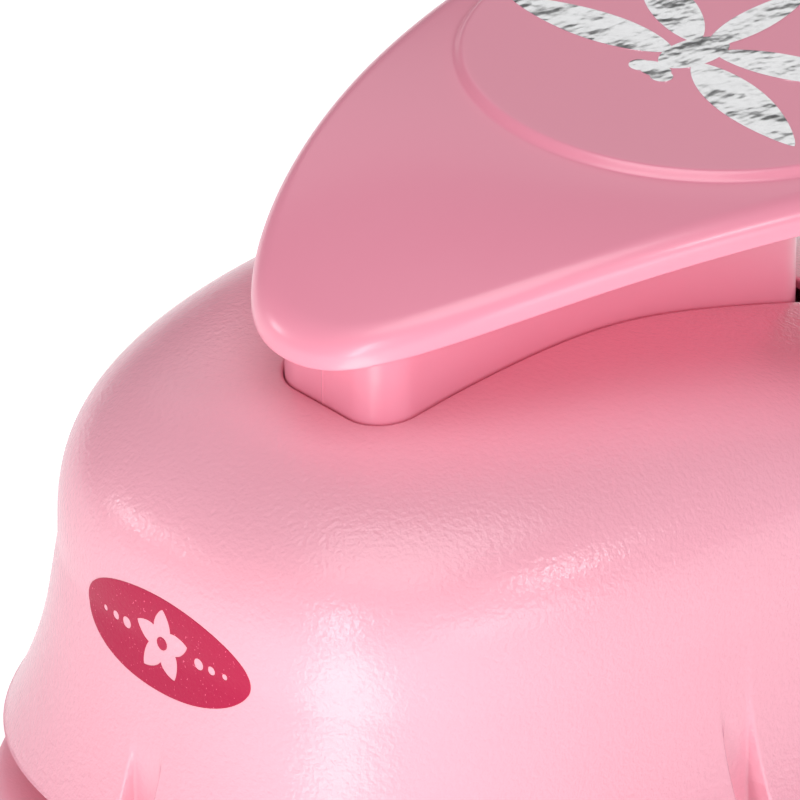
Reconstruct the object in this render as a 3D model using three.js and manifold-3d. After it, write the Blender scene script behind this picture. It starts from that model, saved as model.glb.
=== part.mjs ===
// Lever craft punch: a moulded housing over a steel punch and die, worked by a thumb lever.
// Millimetres, +Z up. X is across the punch, -Y is the front where the paper goes in.
// The origin is on the table, under the middle of the outline.
import * as THREE from 'three';
import { mergeVertices } from 'three/addons/utils/BufferGeometryUtils.js';
import Module from 'manifold-3d';

const wasm = await Module();
wasm.setup();

// ---------------------------------------------------------------- driving dimensions

// Housing: rounded-square plan with a domed top that falls away to the rear.
const HOUSING = {
  centreY: 4,
  frontLength: 42.7,
  rearLength: 36,
  halfWidth: 27.9,
  planPower: 2.75,
  shoulderPower: 3.3,
  wallTopZ: 26,
  lipZ: 9.5,
  rearBottomZ: 5.25,
  wall: 2.6,
  roof: 2.3,
  floorTopZ: 13.5,
};
const CREST = { z: 42.45, bendY: 2.2, slope: 0.34, softness: 4 };
const FRONT_FLARE = { lean: 0.185, sweep: 0.01 };
const SIDE_FLARE = { lean: 0.06, sweep: 0.02 };
const FLARE_START = 5;
const SLOT_END_Y = 12;

// Centring notches: one in the front wall, one in each side wall beside the die.
const FRONT_NOTCH = { halfWidth: 1.6, floorY: -40.3, topZ: 24 };
const SIDE_NOTCH = { halfWidth: 1.45, floorX: 28.1, topZ: 26 };

// Lever plate: an arched teardrop around a raised disc.
const DISC = { y: 18.4, z: 56, radius: 19.5, height: 0.55, rimRadius: 0.6 };
const PLATE = {
  tilt: THREE.MathUtils.degToRad(-2),
  tipLength: 44.1,
  tipSpread: 14.7,
  tipTaper: 0.042,
  tipBlunt: 7,
  rearLength: 26,
  rearCentre: 5.5,
  dishStart: 16,
  tipDrop: 8.4,
  thickness: 2.5,
  edgeRadius: 1.6,
};
const NECK = { halfWidth: 6.5, frontY: -22.1, rearY: 24, corner: 3.5, wall: 2, bottomZ: 30, gap: 0.5 };
// Relief under the neck, so that it clears the punch holder when the lever is down.
const NECK_RELIEF = { frontY: -9.5, rearY: 14, topZ: 33 };

// Mechanism.
const PIVOT = { y: -15.8, z: 34, pinRadius: 1.5, holeRadius: 1.65, earRadius: 4 };
const DIE_CENTRE_Y = -5;
const DIE_SCALE = 0.85;
const DIE_PLATE = { halfWidth: 17, frontY: -29, rearY: 15, bottomZ: 6, topZ: 8 };
const GUIDE_PLATE = { halfWidth: 19.5, frontY: -29, rearY: 15, bottomZ: 9.25, topZ: 11.25 };
const PUNCH = { bottomZ: 9.5, topZ: 22 };
const HOLDER = { bottomZ: 22.25, topZ: 27.5, halfWidth: 14, frontY: -19, shoulderY: -12.6, rearY: 10.5 };
const CAM = { radius: 3, bottomZ: 27.8 };
const CORE = { outer: 4.1, inner: 2.6, webBottomZ: 44, webTopZ: 45.5, rearY: 21.5 };
const BRACKET = { inner: 8.25, outer: 9.75, frontY: -24, rearY: -13.2, webTopZ: 27.5, footX: 14, sheet: 1.5 };
const SPRING = { radius: 2.6, wire: 0.45, turns: 4.5, clearance: 0.2, stepsPerTurn: 10 };
const BASE = { halfWidth: 32, frontLength: 48.3, rearLength: 40.3, topZ: 5, platformZ: 8, edge: 1.2 };
const SLACK = 0.25;

const AROUND = 44;
const AROUND_INSIDE = 28;
const FULL_TURN = Math.PI * 2;

// ---------------------------------------------------------------- materials

function plastic(colour, roughness) {
  return new THREE.MeshStandardMaterial({ color: colour, roughness, metalness: 0 });
}

function metal(colour, roughness) {
  return new THREE.MeshStandardMaterial({ color: colour, roughness, metalness: 1 });
}

const housingPink = plastic(0xf2b3c4, 0.5);
const leverPink = plastic(0xe898b0, 0.25);
const basePink = plastic(0xe9a3b8, 0.5);
const printRaspberry = plastic(0xd8125f, 0.4);
const silverFoil = metal(0xd8d8de, 0.15);
const steel = metal(0xb4b6ba, 0.35);
const toolSteel = metal(0x8f9296, 0.3);
const zinc = metal(0xa3a5a8, 0.5);
const springSteel = metal(0xc4c6ca, 0.25);

// ---------------------------------------------------------------- geometry helpers

// A closed geometry as a manifold solid, for cutting and joining.
function solid(geometry) {
  const bare = geometry.clone();
  bare.deleteAttribute('normal');
  bare.deleteAttribute('uv');
  const merged = mergeVertices(bare, 1e-4);
  const vertProperties = merged.attributes.position.array;
  const triVerts = merged.index.array;
  return new wasm.Manifold(new wasm.Mesh({ numProp: 3, vertProperties, triVerts }));
}

function geometryOf(manifold) {
  const mesh = manifold.getMesh();
  const geometry = new THREE.BufferGeometry();
  geometry.setAttribute('position', new THREE.BufferAttribute(new Float32Array(mesh.vertProperties), 3));
  geometry.setIndex(new THREE.BufferAttribute(new Uint32Array(mesh.triVerts), 1));
  geometry.computeVertexNormals();
  return geometry;
}

function joined(parts) {
  return parts.reduce((whole, part) => whole.add(part));
}

function cut(whole, parts) {
  return parts.reduce((rest, part) => rest.subtract(part), whole);
}

function block(x0, x1, y0, y1, z0, z1) {
  const box = new THREE.BoxGeometry(x1 - x0, y1 - y0, z1 - z0);
  box.translate((x0 + x1) / 2, (y0 + y1) / 2, (z0 + z1) / 2);
  return box;
}

// An upright round bar.
function upright(radius, x, y, z0, z1, sides = 14) {
  const bar = new THREE.CylinderGeometry(radius, radius, z1 - z0, sides);
  bar.rotateX(Math.PI / 2);
  bar.translate(x, y, (z0 + z1) / 2);
  return bar;
}

// A round bar along X at the pivot.
function crossBar(radius, x0, x1, sides = 20) {
  const bar = new THREE.CylinderGeometry(radius, radius, x1 - x0, sides);
  bar.rotateZ(Math.PI / 2);
  bar.translate((x0 + x1) / 2, PIVOT.y, PIVOT.z);
  return bar;
}

function prism(shape, z0, z1, curveSegments = 8) {
  const body = new THREE.ExtrudeGeometry(shape, { depth: z1 - z0, bevelEnabled: false, curveSegments });
  body.translate(0, 0, z0);
  return body;
}

// A sheet cut to a side-view outline (shape x is Y, shape y is Z), from x0 to x1.
function sideSheet(shape, x0, x1, curveSegments = 8) {
  const sheet = new THREE.ExtrudeGeometry(shape, { depth: x1 - x0, bevelEnabled: false, curveSegments });
  const toSide = new THREE.Matrix4().makeBasis(
    new THREE.Vector3(0, 1, 0),
    new THREE.Vector3(0, 0, 1),
    new THREE.Vector3(1, 0, 0),
  );
  sheet.applyMatrix4(toSide);
  sheet.translate(x0, 0, 0);
  return sheet;
}

// A turned piece about +Z from [radius, z] points, starting and ending on the axis.
function turned(points, segments = 20) {
  const profile = points.map(([radius, z]) => new THREE.Vector2(radius, z));
  const piece = new THREE.LatheGeometry(profile, segments);
  piece.rotateX(Math.PI / 2);
  return piece;
}

function roundedRectangle(x0, x1, y0, y1, radius) {
  const shape = new THREE.Shape();
  shape.moveTo(x0 + radius, y0);
  shape.absarc(x1 - radius, y0 + radius, radius, -Math.PI / 2, 0);
  shape.absarc(x1 - radius, y1 - radius, radius, 0, Math.PI / 2);
  shape.absarc(x0 + radius, y1 - radius, radius, Math.PI / 2, Math.PI);
  shape.absarc(x0 + radius, y0 + radius, radius, Math.PI, Math.PI * 1.5);
  shape.closePath();
  return shape;
}

// A closed skin through rings of equal count, each ring counter-clockwise seen from the first end.
function loft(rings) {
  const count = rings[0].length;
  const positions = [];
  rings.forEach((ring) => ring.forEach((p) => positions.push(p.x, p.y, p.z)));
  const index = [];
  for (let row = 0; row < rings.length - 1; row += 1) {
    for (let column = 0; column < count; column += 1) {
      const here = row * count + column;
      const beside = row * count + ((column + 1) % count);
      index.push(here, here + count, beside, beside, here + count, beside + count);
    }
  }
  [0, rings.length - 1].forEach((row) => {
    const centre = new THREE.Vector3();
    rings[row].forEach((p) => centre.addScaledVector(p, 1 / count));
    const middle = positions.length / 3;
    positions.push(centre.x, centre.y, centre.z);
    for (let column = 0; column < count; column += 1) {
      const here = row * count + column;
      const beside = row * count + ((column + 1) % count);
      if (row === 0) index.push(middle, here, beside);
      else index.push(middle, beside, here);
    }
  });
  const geometry = new THREE.BufferGeometry();
  geometry.setAttribute('position', new THREE.Float32BufferAttribute(positions, 3));
  geometry.setIndex(index);
  return geometry;
}

// ---------------------------------------------------------------- housing surface

// Height of the dome's ridge at a distance along the punch.
function crestZ(y) {
  return CREST.z - CREST.slope * CREST.softness * Math.log1p(Math.exp((y - CREST.bendY) / CREST.softness));
}

// Unit direction of the superellipse plan outline.
function planDirection(angle) {
  const cos = Math.cos(angle);
  const sin = Math.sin(angle);
  const power = HOUSING.planPower;
  const reach = (Math.abs(cos) ** power + Math.abs(sin) ** power) ** (-1 / power);
  return { x: cos * reach, y: sin * reach };
}

function flareBy(depth, flare) {
  return flare.lean * depth + flare.sweep * Math.max(0, depth - FLARE_START) ** 2;
}

// Half-lengths of the plan, shrunk by an inset.
function reachOf(direction, inset) {
  const length = direction.y < 0 ? HOUSING.frontLength : HOUSING.rearLength;
  return { x: HOUSING.halfWidth - inset, y: length - inset };
}

// A point on the dome: t is 0 on the ridge and 1 at the top of the wall.
function domePoint(angle, t, inset, sink) {
  const direction = planDirection(angle);
  const reach = reachOf(direction, inset);
  const edgeY = HOUSING.centreY + reach.y * direction.y;
  const y = HOUSING.centreY + reach.y * direction.y * t;
  const power = HOUSING.shoulderPower;
  const drop = (crestZ(edgeY) - HOUSING.wallTopZ) * (1 - (1 - t ** power) ** (1 / power));
  const lowering = sink * (1 - t);
  return new THREE.Vector3(reach.x * direction.x * t, y, crestZ(y) - drop - lowering);
}

// A point on the wall below the dome.
function wallPoint(angle, z, inset) {
  const direction = planDirection(angle);
  const reach = reachOf(direction, inset);
  const depth = HOUSING.wallTopZ - z;
  const share = direction.y ** 2 / (direction.x ** 2 + direction.y ** 2);
  const spread = share * flareBy(depth, FRONT_FLARE) + (1 - share) * flareBy(depth, SIDE_FLARE);
  const x = (reach.x + spread) * direction.x;
  const y = HOUSING.centreY + (reach.y + spread) * direction.y;
  return new THREE.Vector3(x, y, z);
}

function ringOf(pointAt, around = AROUND) {
  const ring = [];
  for (let step = 0; step < around; step += 1) {
    ring.push(pointAt((step / around) * FULL_TURN));
  }
  return ring;
}

// The outer skin: dome, flared wall down to the lip, then straight down to the rear bottom edge.
function outerSkin() {
  const { wallTopZ, lipZ, rearBottomZ } = HOUSING;
  const domeSteps = [0.06, 0.4, 0.66, 0.82, 0.91, 0.965, 0.99, 1];
  const rings = domeSteps.map((t) => ringOf((angle) => domePoint(angle, t, 0, 0)));
  const levels = 4;
  for (let level = 1; level <= levels; level += 1) {
    const z = wallTopZ + ((lipZ - wallTopZ) * level) / levels;
    rings.push(ringOf((angle) => wallPoint(angle, z, 0)));
  }
  rings.push(ringOf((angle) => wallPoint(angle, lipZ, 0).setZ(rearBottomZ)));
  return loft(rings);
}

// The cavity: the same dome one wall thickness in, with plain upright sides.
function innerSkin() {
  const { wall, roof, wallTopZ, floorTopZ } = HOUSING;
  const domeSteps = [0.1, 0.6, 0.85, 0.96, 1];
  const rings = domeSteps.map((t) => ringOf((angle) => domePoint(angle, t, wall, roof), AROUND_INSIDE));
  rings.push(ringOf((angle) => wallPoint(angle, wallTopZ, wall).setZ(floorTopZ), AROUND_INSIDE));
  return loft(rings);
}

function planPrism(reachX, frontLength, rearLength, z0, z1) {
  const shapePoints = ringOf((angle) => {
    const direction = planDirection(angle);
    const length = direction.y < 0 ? frontLength : rearLength;
    return new THREE.Vector3(reachX * direction.x, HOUSING.centreY + length * direction.y, 0);
  }, AROUND_INSIDE);
  return prism(new THREE.Shape(shapePoints.map((p) => new THREE.Vector2(p.x, p.y))), z0, z1);
}

// ---------------------------------------------------------------- dragonfly

const FOIL_X = -0.6;

// A slender wing or tail from its root, widest just before its middle, turned from +X.
function leaf(x, y, length, width, turn) {
  const steps = 9;
  const side = [];
  for (let step = 0; step <= steps; step += 1) {
    const share = step / steps;
    const half = (width / 2) * Math.sin(Math.PI * share ** 0.85) ** 0.75;
    side.push([share * length, step === steps ? 0 : half]);
  }
  const far = side.slice(1, -1).reverse().map(([along, half]) => [along, half]);
  const near = side.map(([along, half]) => [along, -half]);
  return [...near, ...far].map(([along, across]) => new THREE.Vector2(
    x + along * Math.cos(turn) - across * Math.sin(turn),
    y + along * Math.sin(turn) + across * Math.cos(turn),
  ));
}

function oval(x, y, rx, ry) {
  const steps = 16;
  const points = [];
  for (let step = 0; step < steps; step += 1) {
    const angle = (step / steps) * FULL_TURN;
    points.push(new THREE.Vector2(x + rx * Math.cos(angle), y + ry * Math.sin(angle)));
  }
  return points;
}

// The dragonfly as separate outlines, head towards -Y:
// thorax, head, eyes, leaning tail and two pairs of wings.
function dragonflyShapes(scale, grow) {
  const outlines = [oval(0, -1, 1.9, 3.4), oval(0, -5.2, 1.5, 1.1), leaf(0, 0.5, 13, 3, 1.7)];
  [-1, 1].forEach((side) => {
    outlines.push(oval(side * 1.2, -5.6, 0.9, 0.9));
    const foreTurn = side > 0 ? -0.235 : Math.PI + 0.235;
    const hindTurn = side > 0 ? 0.45 : Math.PI - 0.45;
    outlines.push(leaf(side * 1.2, -2.1, 15.2, 4.5, foreTurn), leaf(side, 0.3, 13.5, 3.9, hindTurn));
  });
  return outlines.map((outline) => {
    const middle = new THREE.Vector2();
    outline.forEach((p) => middle.addScaledVector(p, 1 / outline.length));
    return new THREE.Shape(outline.map((p) => {
      const spoke = p.clone().sub(middle);
      return p.clone().multiplyScalar(scale).addScaledVector(spoke.normalize(), grow);
    }));
  });
}

function dragonfly(scale, grow, z0, z1, x, y) {
  const bodies = dragonflyShapes(scale, grow).map((shape) => solid(prism(shape, z0, z1)));
  return joined(bodies).translate([x, y, 0]);
}

// ---------------------------------------------------------------- housing pieces

const GUIDE_SCREWS = [
  ['front_left', -17, -26.8],
  ['front_right', 17, -26.8],
  ['rear_left', -17, 8],
  ['rear_right', 17, 8],
];
const BASE_SCREWS = [
  ['left', -19, 29],
  ['right', 19, 29],
];
const GUIDE_BOSS_TOP = 20;
const LEDGE_X = 14.5;
const LEDGE_FRONT_Y = -24.6;

function neckOpening() {
  const { halfWidth, frontY, rearY, corner, gap } = NECK;
  const rearRoom = 2.4;
  const reach = halfWidth + gap;
  const outline = roundedRectangle(-reach, reach, frontY - gap, rearY + rearRoom, corner + gap);
  return prism(outline, 20, 60);
}

function bodyShell() {
  const outside = solid(outerSkin());
  const inside = solid(innerSkin());
  const far = 80;
  const slot = solid(block(-far, far, -far, SLOT_END_Y, 0, HOUSING.lipZ));
  const { halfWidth, frontLength, rearLength, wall, lipZ } = HOUSING;
  const rearPocket = solid(planPrism(halfWidth, frontLength, rearLength, 0, lipZ));
  const guideSeat = solid(block(
    -GUIDE_PLATE.halfWidth - SLACK,
    GUIDE_PLATE.halfWidth + SLACK,
    GUIDE_PLATE.frontY - SLACK,
    GUIDE_PLATE.rearY + SLACK,
    0,
    GUIDE_PLATE.topZ,
  ));
  const windowTopZ = HOUSING.floorTopZ + wall;
  const window = solid(block(-LEDGE_X, LEDGE_X, LEDGE_FRONT_Y, GUIDE_PLATE.rearY + SLACK, 0, windowTopZ));
  const frontNotch = solid(block(
    -FRONT_NOTCH.halfWidth,
    FRONT_NOTCH.halfWidth,
    -far,
    FRONT_NOTCH.floorY,
    0,
    FRONT_NOTCH.topZ,
  ));
  const sideNotches = [-1, 1].map((side) => {
    const near = Math.min(side * SIDE_NOTCH.floorX, side * far);
    const wide = Math.max(side * SIDE_NOTCH.floorX, side * far);
    const y0 = DIE_CENTRE_Y - SIDE_NOTCH.halfWidth;
    return solid(block(near, wide, y0, DIE_CENTRE_Y + SIDE_NOTCH.halfWidth, 0, SIDE_NOTCH.topZ));
  });
  const hollow = cut(outside, [inside, slot, rearPocket, solid(neckOpening()), frontNotch, ...sideNotches]);
  const guideBosses = GUIDE_SCREWS.map(([, x, y]) => solid(upright(2.9, x, y, 10, GUIDE_BOSS_TOP)));
  const basePosts = BASE_SCREWS.map(([, x, y]) => solid(upright(3.6, x, y, HOUSING.rearBottomZ, 20)));
  const guideHoles = GUIDE_SCREWS.map(([, x, y]) => solid(upright(1.4, x, y, 5, GUIDE_BOSS_TOP - 1)));
  const baseHoles = BASE_SCREWS.map(([, x, y]) => solid(upright(1.7, x, y, 0, 17)));
  const posted = joined([hollow, ...guideBosses, ...basePosts]);
  return geometryOf(cut(posted, [guideSeat, window, ...guideHoles, ...baseHoles]));
}

const DIE_SCREWS = [
  ['front_left', -13.5, -26],
  ['front_right', 13.5, -26],
  ['rear_left', -13.5, 12],
  ['rear_right', 13.5, 12],
];
const CHIP_WINDOW = { halfWidth: 14.1, frontY: -15, rearY: 8.5 };

// Lower jaw: a flat plate whose middle ramps up to carry the die plate flush with the paper.
function base() {
  const { halfWidth, frontLength, rearLength, topZ, platformZ, edge } = BASE;
  const ringAt = (inset, z) => ringOf((angle) => {
    const direction = planDirection(angle);
    const length = (direction.y < 0 ? frontLength : rearLength) - inset;
    return new THREE.Vector3((halfWidth - inset) * direction.x, HOUSING.centreY + length * direction.y, z);
  });
  const tray = solid(loft([ringAt(edge, topZ), ringAt(0, topZ - edge), ringAt(0, edge), ringAt(edge, 0)]));
  const rampFoot = 6;
  const rampHead = 8.6;
  const ramp = solid(loft([ringAt(rampHead, platformZ), ringAt(rampFoot, topZ), ringAt(rampFoot, 2)]));
  const behindRamp = solid(block(-60, 60, 14.9 + SLACK, 60, topZ, platformZ + 1));
  const seat = solid(block(
    -DIE_PLATE.halfWidth - SLACK,
    DIE_PLATE.halfWidth + SLACK,
    DIE_PLATE.frontY - SLACK,
    DIE_PLATE.rearY + SLACK,
    DIE_PLATE.bottomZ,
    platformZ + 1,
  ));
  const chips = solid(prism(
    roundedRectangle(-CHIP_WINDOW.halfWidth, CHIP_WINDOW.halfWidth, CHIP_WINDOW.frontY, CHIP_WINDOW.rearY, 2),
    -1,
    platformZ + 1,
    4,
  ));
  const holes = [];
  DIE_SCREWS.forEach(([, x, y]) => {
    holes.push(solid(upright(1.4, x, y, -1, platformZ)), solid(upright(2.7, x, y, -1, 2.2)));
  });
  BASE_SCREWS.forEach(([, x, y]) => {
    holes.push(solid(upright(1.8, x, y, -1, platformZ)), solid(upright(3.2, x, y, -1, 2.2)));
  });
  return geometryOf(cut(tray.add(ramp), [behindRamp, seat, chips, ...holes]));
}

// Printed oval on the front wall: a film that follows the wall.
const PRINT = { z: 26.65, halfWidth: 9.25, halfHeight: 3.9, film: 0.1, lift: 0.08 };

function frontWallPoint(x, z, lift) {
  const wallRing = (angle) => (z < HOUSING.wallTopZ ? wallPoint(angle, z, 0) : domeAtHeight(angle, z));
  let low = -Math.PI / 2 - 0.7;
  let high = -Math.PI / 2 + 0.7;
  for (let pass = 0; pass < 40; pass += 1) {
    const middle = (low + high) / 2;
    if (wallRing(middle).x < x) low = middle;
    else high = middle;
  }
  const point = wallRing((low + high) / 2);
  point.y -= lift;
  return point;
}

function domeAtHeight(angle, z) {
  let low = 0;
  let high = 1;
  for (let pass = 0; pass < 40; pass += 1) {
    const middle = (low + high) / 2;
    if (domePoint(angle, middle, 0, 0).z > z) low = middle;
    else high = middle;
  }
  return domePoint(angle, high, 0, 0);
}

function frontPrint() {
  const around = 24;
  const ringAt = (share, lift) => {
    const ring = [];
    for (let step = 0; step < around; step += 1) {
      const angle = (step / around) * FULL_TURN;
      const x = share * PRINT.halfWidth * Math.cos(angle);
      const z = PRINT.z + share * PRINT.halfHeight * Math.sin(angle);
      ring.push(frontWallPoint(x, z, lift));
    }
    return ring;
  };
  const outer = PRINT.lift + PRINT.film;
  return loft([
    ringAt(0.5, outer),
    ringAt(1, outer),
    ringAt(1, PRINT.lift),
    ringAt(0.5, PRINT.lift),
  ]);
}

// ---------------------------------------------------------------- lever

// Half-width of the teardrop at a distance from its tip.
function plateHalfWidth(fromTip) {
  const { tipSpread, tipTaper, tipBlunt } = PLATE;
  return Math.sqrt(fromTip * (tipSpread - tipTaper * fromTip) + tipBlunt * (1 - Math.exp(-fromTip)));
}

// The outline around the disc centre, counter-clockwise from the rear of the right-hand side.
function plateOutline() {
  const { tipLength, rearLength, rearCentre } = PLATE;
  const right = [];
  const frontSteps = 11;
  const toShoulder = tipLength + rearCentre;
  for (let step = 0; step <= frontSteps; step += 1) {
    const fromTip = toShoulder * (step / frontSteps) ** 2;
    right.push([plateHalfWidth(fromTip), fromTip - tipLength]);
  }
  const rearSteps = 8;
  const shoulder = plateHalfWidth(toShoulder);
  for (let step = 1; step < rearSteps; step += 1) {
    const angle = (step / rearSteps) * (Math.PI / 2);
    right.push([shoulder * Math.cos(angle), rearCentre + (rearLength - rearCentre) * Math.sin(angle)]);
  }
  const rear = [0, rearLength];
  const left = right.slice(1).reverse().map(([x, y]) => [-x, y]);
  return [...right, rear, ...left];
}

// Height of the plate's top surface at a distance from the disc centre.
function plateTop(distance) {
  const { dishStart, tipDrop, tipLength } = PLATE;
  const beyond = Math.max(0, distance - dishStart) / (tipLength - dishStart);
  return -tipDrop * beyond ** 2;
}

// The plate, or with a deep bottom the column of space below its surface.
function plateBody(lower, bottomZ) {
  const outline = plateOutline();
  const { edgeRadius, thickness } = PLATE;
  const ringAt = (inset, share, sink, flatZ) => outline.map(([x, y]) => {
    const length = Math.hypot(x, y);
    const keep = share * (1 - inset / length);
    const z = flatZ === undefined ? plateTop(length * keep) - sink - lower : flatZ;
    return new THREE.Vector3(x * keep, y * keep, z);
  });
  const rings = [
    ringAt(edgeRadius, 0.4, 0),
    ringAt(edgeRadius, 0.75, 0),
    ringAt(edgeRadius, 1, 0),
    ringAt(edgeRadius * 0.45, 1, edgeRadius * 0.16),
    ringAt(edgeRadius * 0.1, 1, edgeRadius * 0.55),
    ringAt(0, 1, edgeRadius),
  ];
  if (bottomZ === undefined) {
    rings.push(ringAt(0.3, 1, thickness));
    rings.push(ringAt(edgeRadius, 0.7, thickness), ringAt(edgeRadius, 0.3, thickness));
  } else {
    rings.push(ringAt(0, 1, 0, bottomZ));
  }
  const body = loft(rings);
  body.rotateX(PLATE.tilt);
  body.translate(0, DISC.y, DISC.z);
  return body;
}

function raisedDisc() {
  const { radius, height, rimRadius } = DISC;
  const profile = [[0, -1.2], [radius - 0.2, -1.2], [radius, 0]];
  const rimSteps = 2;
  for (let step = 1; step <= rimSteps; step += 1) {
    const angle = (step / rimSteps) * (Math.PI / 2);
    profile.push([radius - rimRadius * (1 - Math.cos(angle)), height - rimRadius * (1 - Math.sin(angle))]);
  }
  profile.push([0, height]);
  const disc = turned(profile, 36);
  disc.rotateX(PLATE.tilt);
  disc.translate(0, DISC.y, DISC.z);
  return disc;
}

const CORE_SCREWS = [
  ['front', -2],
  ['rear', 15],
];

function lever() {
  const { halfWidth, frontY, rearY, corner, wall, bottomZ } = NECK;
  const columnDepth = -45;
  const underPlate = solid(plateBody(1, columnDepth));
  const outer = solid(prism(roundedRectangle(-halfWidth, halfWidth, frontY, rearY, corner), bottomZ, 60));
  const inner = solid(prism(
    roundedRectangle(-halfWidth + wall, halfWidth - wall, frontY + wall, rearY - wall, corner - wall),
    bottomZ - 1,
    61,
  ));
  const bosses = CORE_SCREWS.map(([, y]) => solid(upright(2.6, 0, y, CORE.webTopZ + SLACK, 60)));
  const relief = solid(block(-20, 20, NECK_RELIEF.frontY, NECK_RELIEF.rearY, bottomZ - 1, NECK_RELIEF.topZ));
  const neck = joined([cut(outer, [inner, relief]), ...bosses]).intersect(underPlate);
  const whole = joined([solid(plateBody(0)), solid(raisedDisc()), neck]);
  const pinHole = solid(crossBar(PIVOT.holeRadius, -20, 20));
  const screwHoles = CORE_SCREWS.map(([, y]) => solid(upright(1.35, 0, y, 40, 51.4)));
  return geometryOf(cut(whole, [pinHole, ...screwHoles]));
}

// Steel channel: two cheeks with round cams, joined by a web under the plate.
function leverCore() {
  const { outer, inner, webBottomZ, webTopZ, rearY } = CORE;
  const ear = 3.2;
  const camZ = CAM.bottomZ + CAM.radius;
  const side = new THREE.Shape();
  side.moveTo(PIVOT.y + 1, PIVOT.z - ear + 0.2);
  side.lineTo(DIE_CENTRE_Y - CAM.radius, camZ + 0.3);
  side.absarc(DIE_CENTRE_Y, camZ, CAM.radius, Math.PI, Math.PI * 2);
  side.lineTo(rearY, webBottomZ - 4);
  side.lineTo(rearY, webTopZ);
  side.lineTo(PIVOT.y + 6, webTopZ);
  side.lineTo(PIVOT.y - ear, PIVOT.z + 1);
  side.absarc(PIVOT.y, PIVOT.z, ear, Math.PI, Math.PI * 1.5);
  side.closePath();
  const cheeks = [[-outer, -inner], [inner, outer]].map(([x0, x1]) => solid(sideSheet(side, x0, x1)));
  const web = solid(block(-outer, outer, PIVOT.y + 7, rearY, webBottomZ, webTopZ));
  const pinHole = solid(crossBar(PIVOT.holeRadius, -20, 20));
  const screwHoles = CORE_SCREWS.map(([, y]) => solid(upright(1.35, 0, y, 40, 50)));
  return geometryOf(cut(joined([...cheeks, web]), [pinHole, ...screwHoles]));
}

// ---------------------------------------------------------------- punch and die

const FRAME_RIVETS = [
  ['left', -8, 12.2],
  ['right', 8, 12.2],
];
const BRACKET_RIVETS = [
  ['front_left', -11.9, -21.6],
  ['front_right', 11.9, -21.6],
  ['rear_left', -11.9, -15.8],
  ['rear_right', 11.9, -15.8],
];
const HOLDER_SCREWS = [
  ['left', -6.5],
  ['right', 6.5],
];
const HOLDER_SCREW_Y = DIE_CENTRE_Y - 3.65 * DIE_SCALE;

function diePlate() {
  const { halfWidth, frontY, rearY, bottomZ, topZ } = DIE_PLATE;
  const plate = solid(block(-halfWidth, halfWidth, frontY, rearY, bottomZ, topZ));
  const aperture = dragonfly(DIE_SCALE, 0.12, bottomZ - 1, topZ + 1, 0, DIE_CENTRE_Y);
  const rivetHoles = FRAME_RIVETS.map(([, x, y]) => solid(upright(1.65, x, y, 0, 20)));
  const screwHoles = DIE_SCREWS.map(([, x, y]) => solid(upright(1.3, x, y, 0, 20)));
  return geometryOf(cut(plate, [aperture, ...rivetHoles, ...screwHoles]));
}

function guidePlate() {
  const { halfWidth, frontY, rearY, bottomZ, topZ } = GUIDE_PLATE;
  const plate = solid(block(-halfWidth, halfWidth, frontY, rearY, bottomZ, topZ));
  const aperture = dragonfly(DIE_SCALE, 0.12, bottomZ - 1, topZ + 1, 0, DIE_CENTRE_Y);
  const rivetHoles = FRAME_RIVETS.map(([, x, y]) => solid(upright(1.65, x, y, 0, 20)));
  const bracketHoles = BRACKET_RIVETS.map(([, x, y]) => solid(upright(1.2, x, y, 0, 20, 12)));
  const screwHoles = [];
  GUIDE_SCREWS.forEach(([, x, y]) => {
    screwHoles.push(solid(upright(1.35, x, y, 0, 20)), solid(upright(2.3, x, y, 0, bottomZ + 1.1)));
  });
  return geometryOf(cut(plate, [aperture, ...rivetHoles, ...bracketHoles, ...screwHoles]));
}

function paperStop() {
  const bar = solid(block(-16.5, 16.5, 9.75, 14.75, DIE_PLATE.topZ, GUIDE_PLATE.bottomZ));
  const rivetHoles = FRAME_RIVETS.map(([, x, y]) => solid(upright(1.65, x, y, 0, 20)));
  return geometryOf(cut(bar, rivetHoles));
}

function punchDie() {
  const body = dragonfly(DIE_SCALE, 0, PUNCH.bottomZ, PUNCH.topZ, 0, DIE_CENTRE_Y);
  const holes = HOLDER_SCREWS.map(([, x]) => solid(upright(0.95, x, HOLDER_SCREW_Y, 16, 30, 12)));
  return geometryOf(cut(body, holes));
}

function punchHolder() {
  const { bottomZ, topZ, halfWidth, frontY, shoulderY, rearY } = HOLDER;
  const noseX = 7.4;
  const outline = new THREE.Shape();
  outline.moveTo(-noseX, frontY);
  outline.lineTo(noseX, frontY);
  outline.lineTo(noseX, shoulderY);
  outline.lineTo(halfWidth, shoulderY);
  outline.lineTo(halfWidth, rearY);
  outline.lineTo(-halfWidth, rearY);
  outline.lineTo(-halfWidth, shoulderY);
  outline.lineTo(-noseX, shoulderY);
  outline.closePath();
  const plate = solid(prism(outline, bottomZ, topZ));
  const holes = [];
  HOLDER_SCREWS.forEach(([, x]) => {
    holes.push(solid(upright(1.2, x, HOLDER_SCREW_Y, 20, 30)));
    holes.push(solid(upright(2.3, x, HOLDER_SCREW_Y, topZ - 2, 30)));
  });
  return geometryOf(cut(plate, holes));
}

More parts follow.
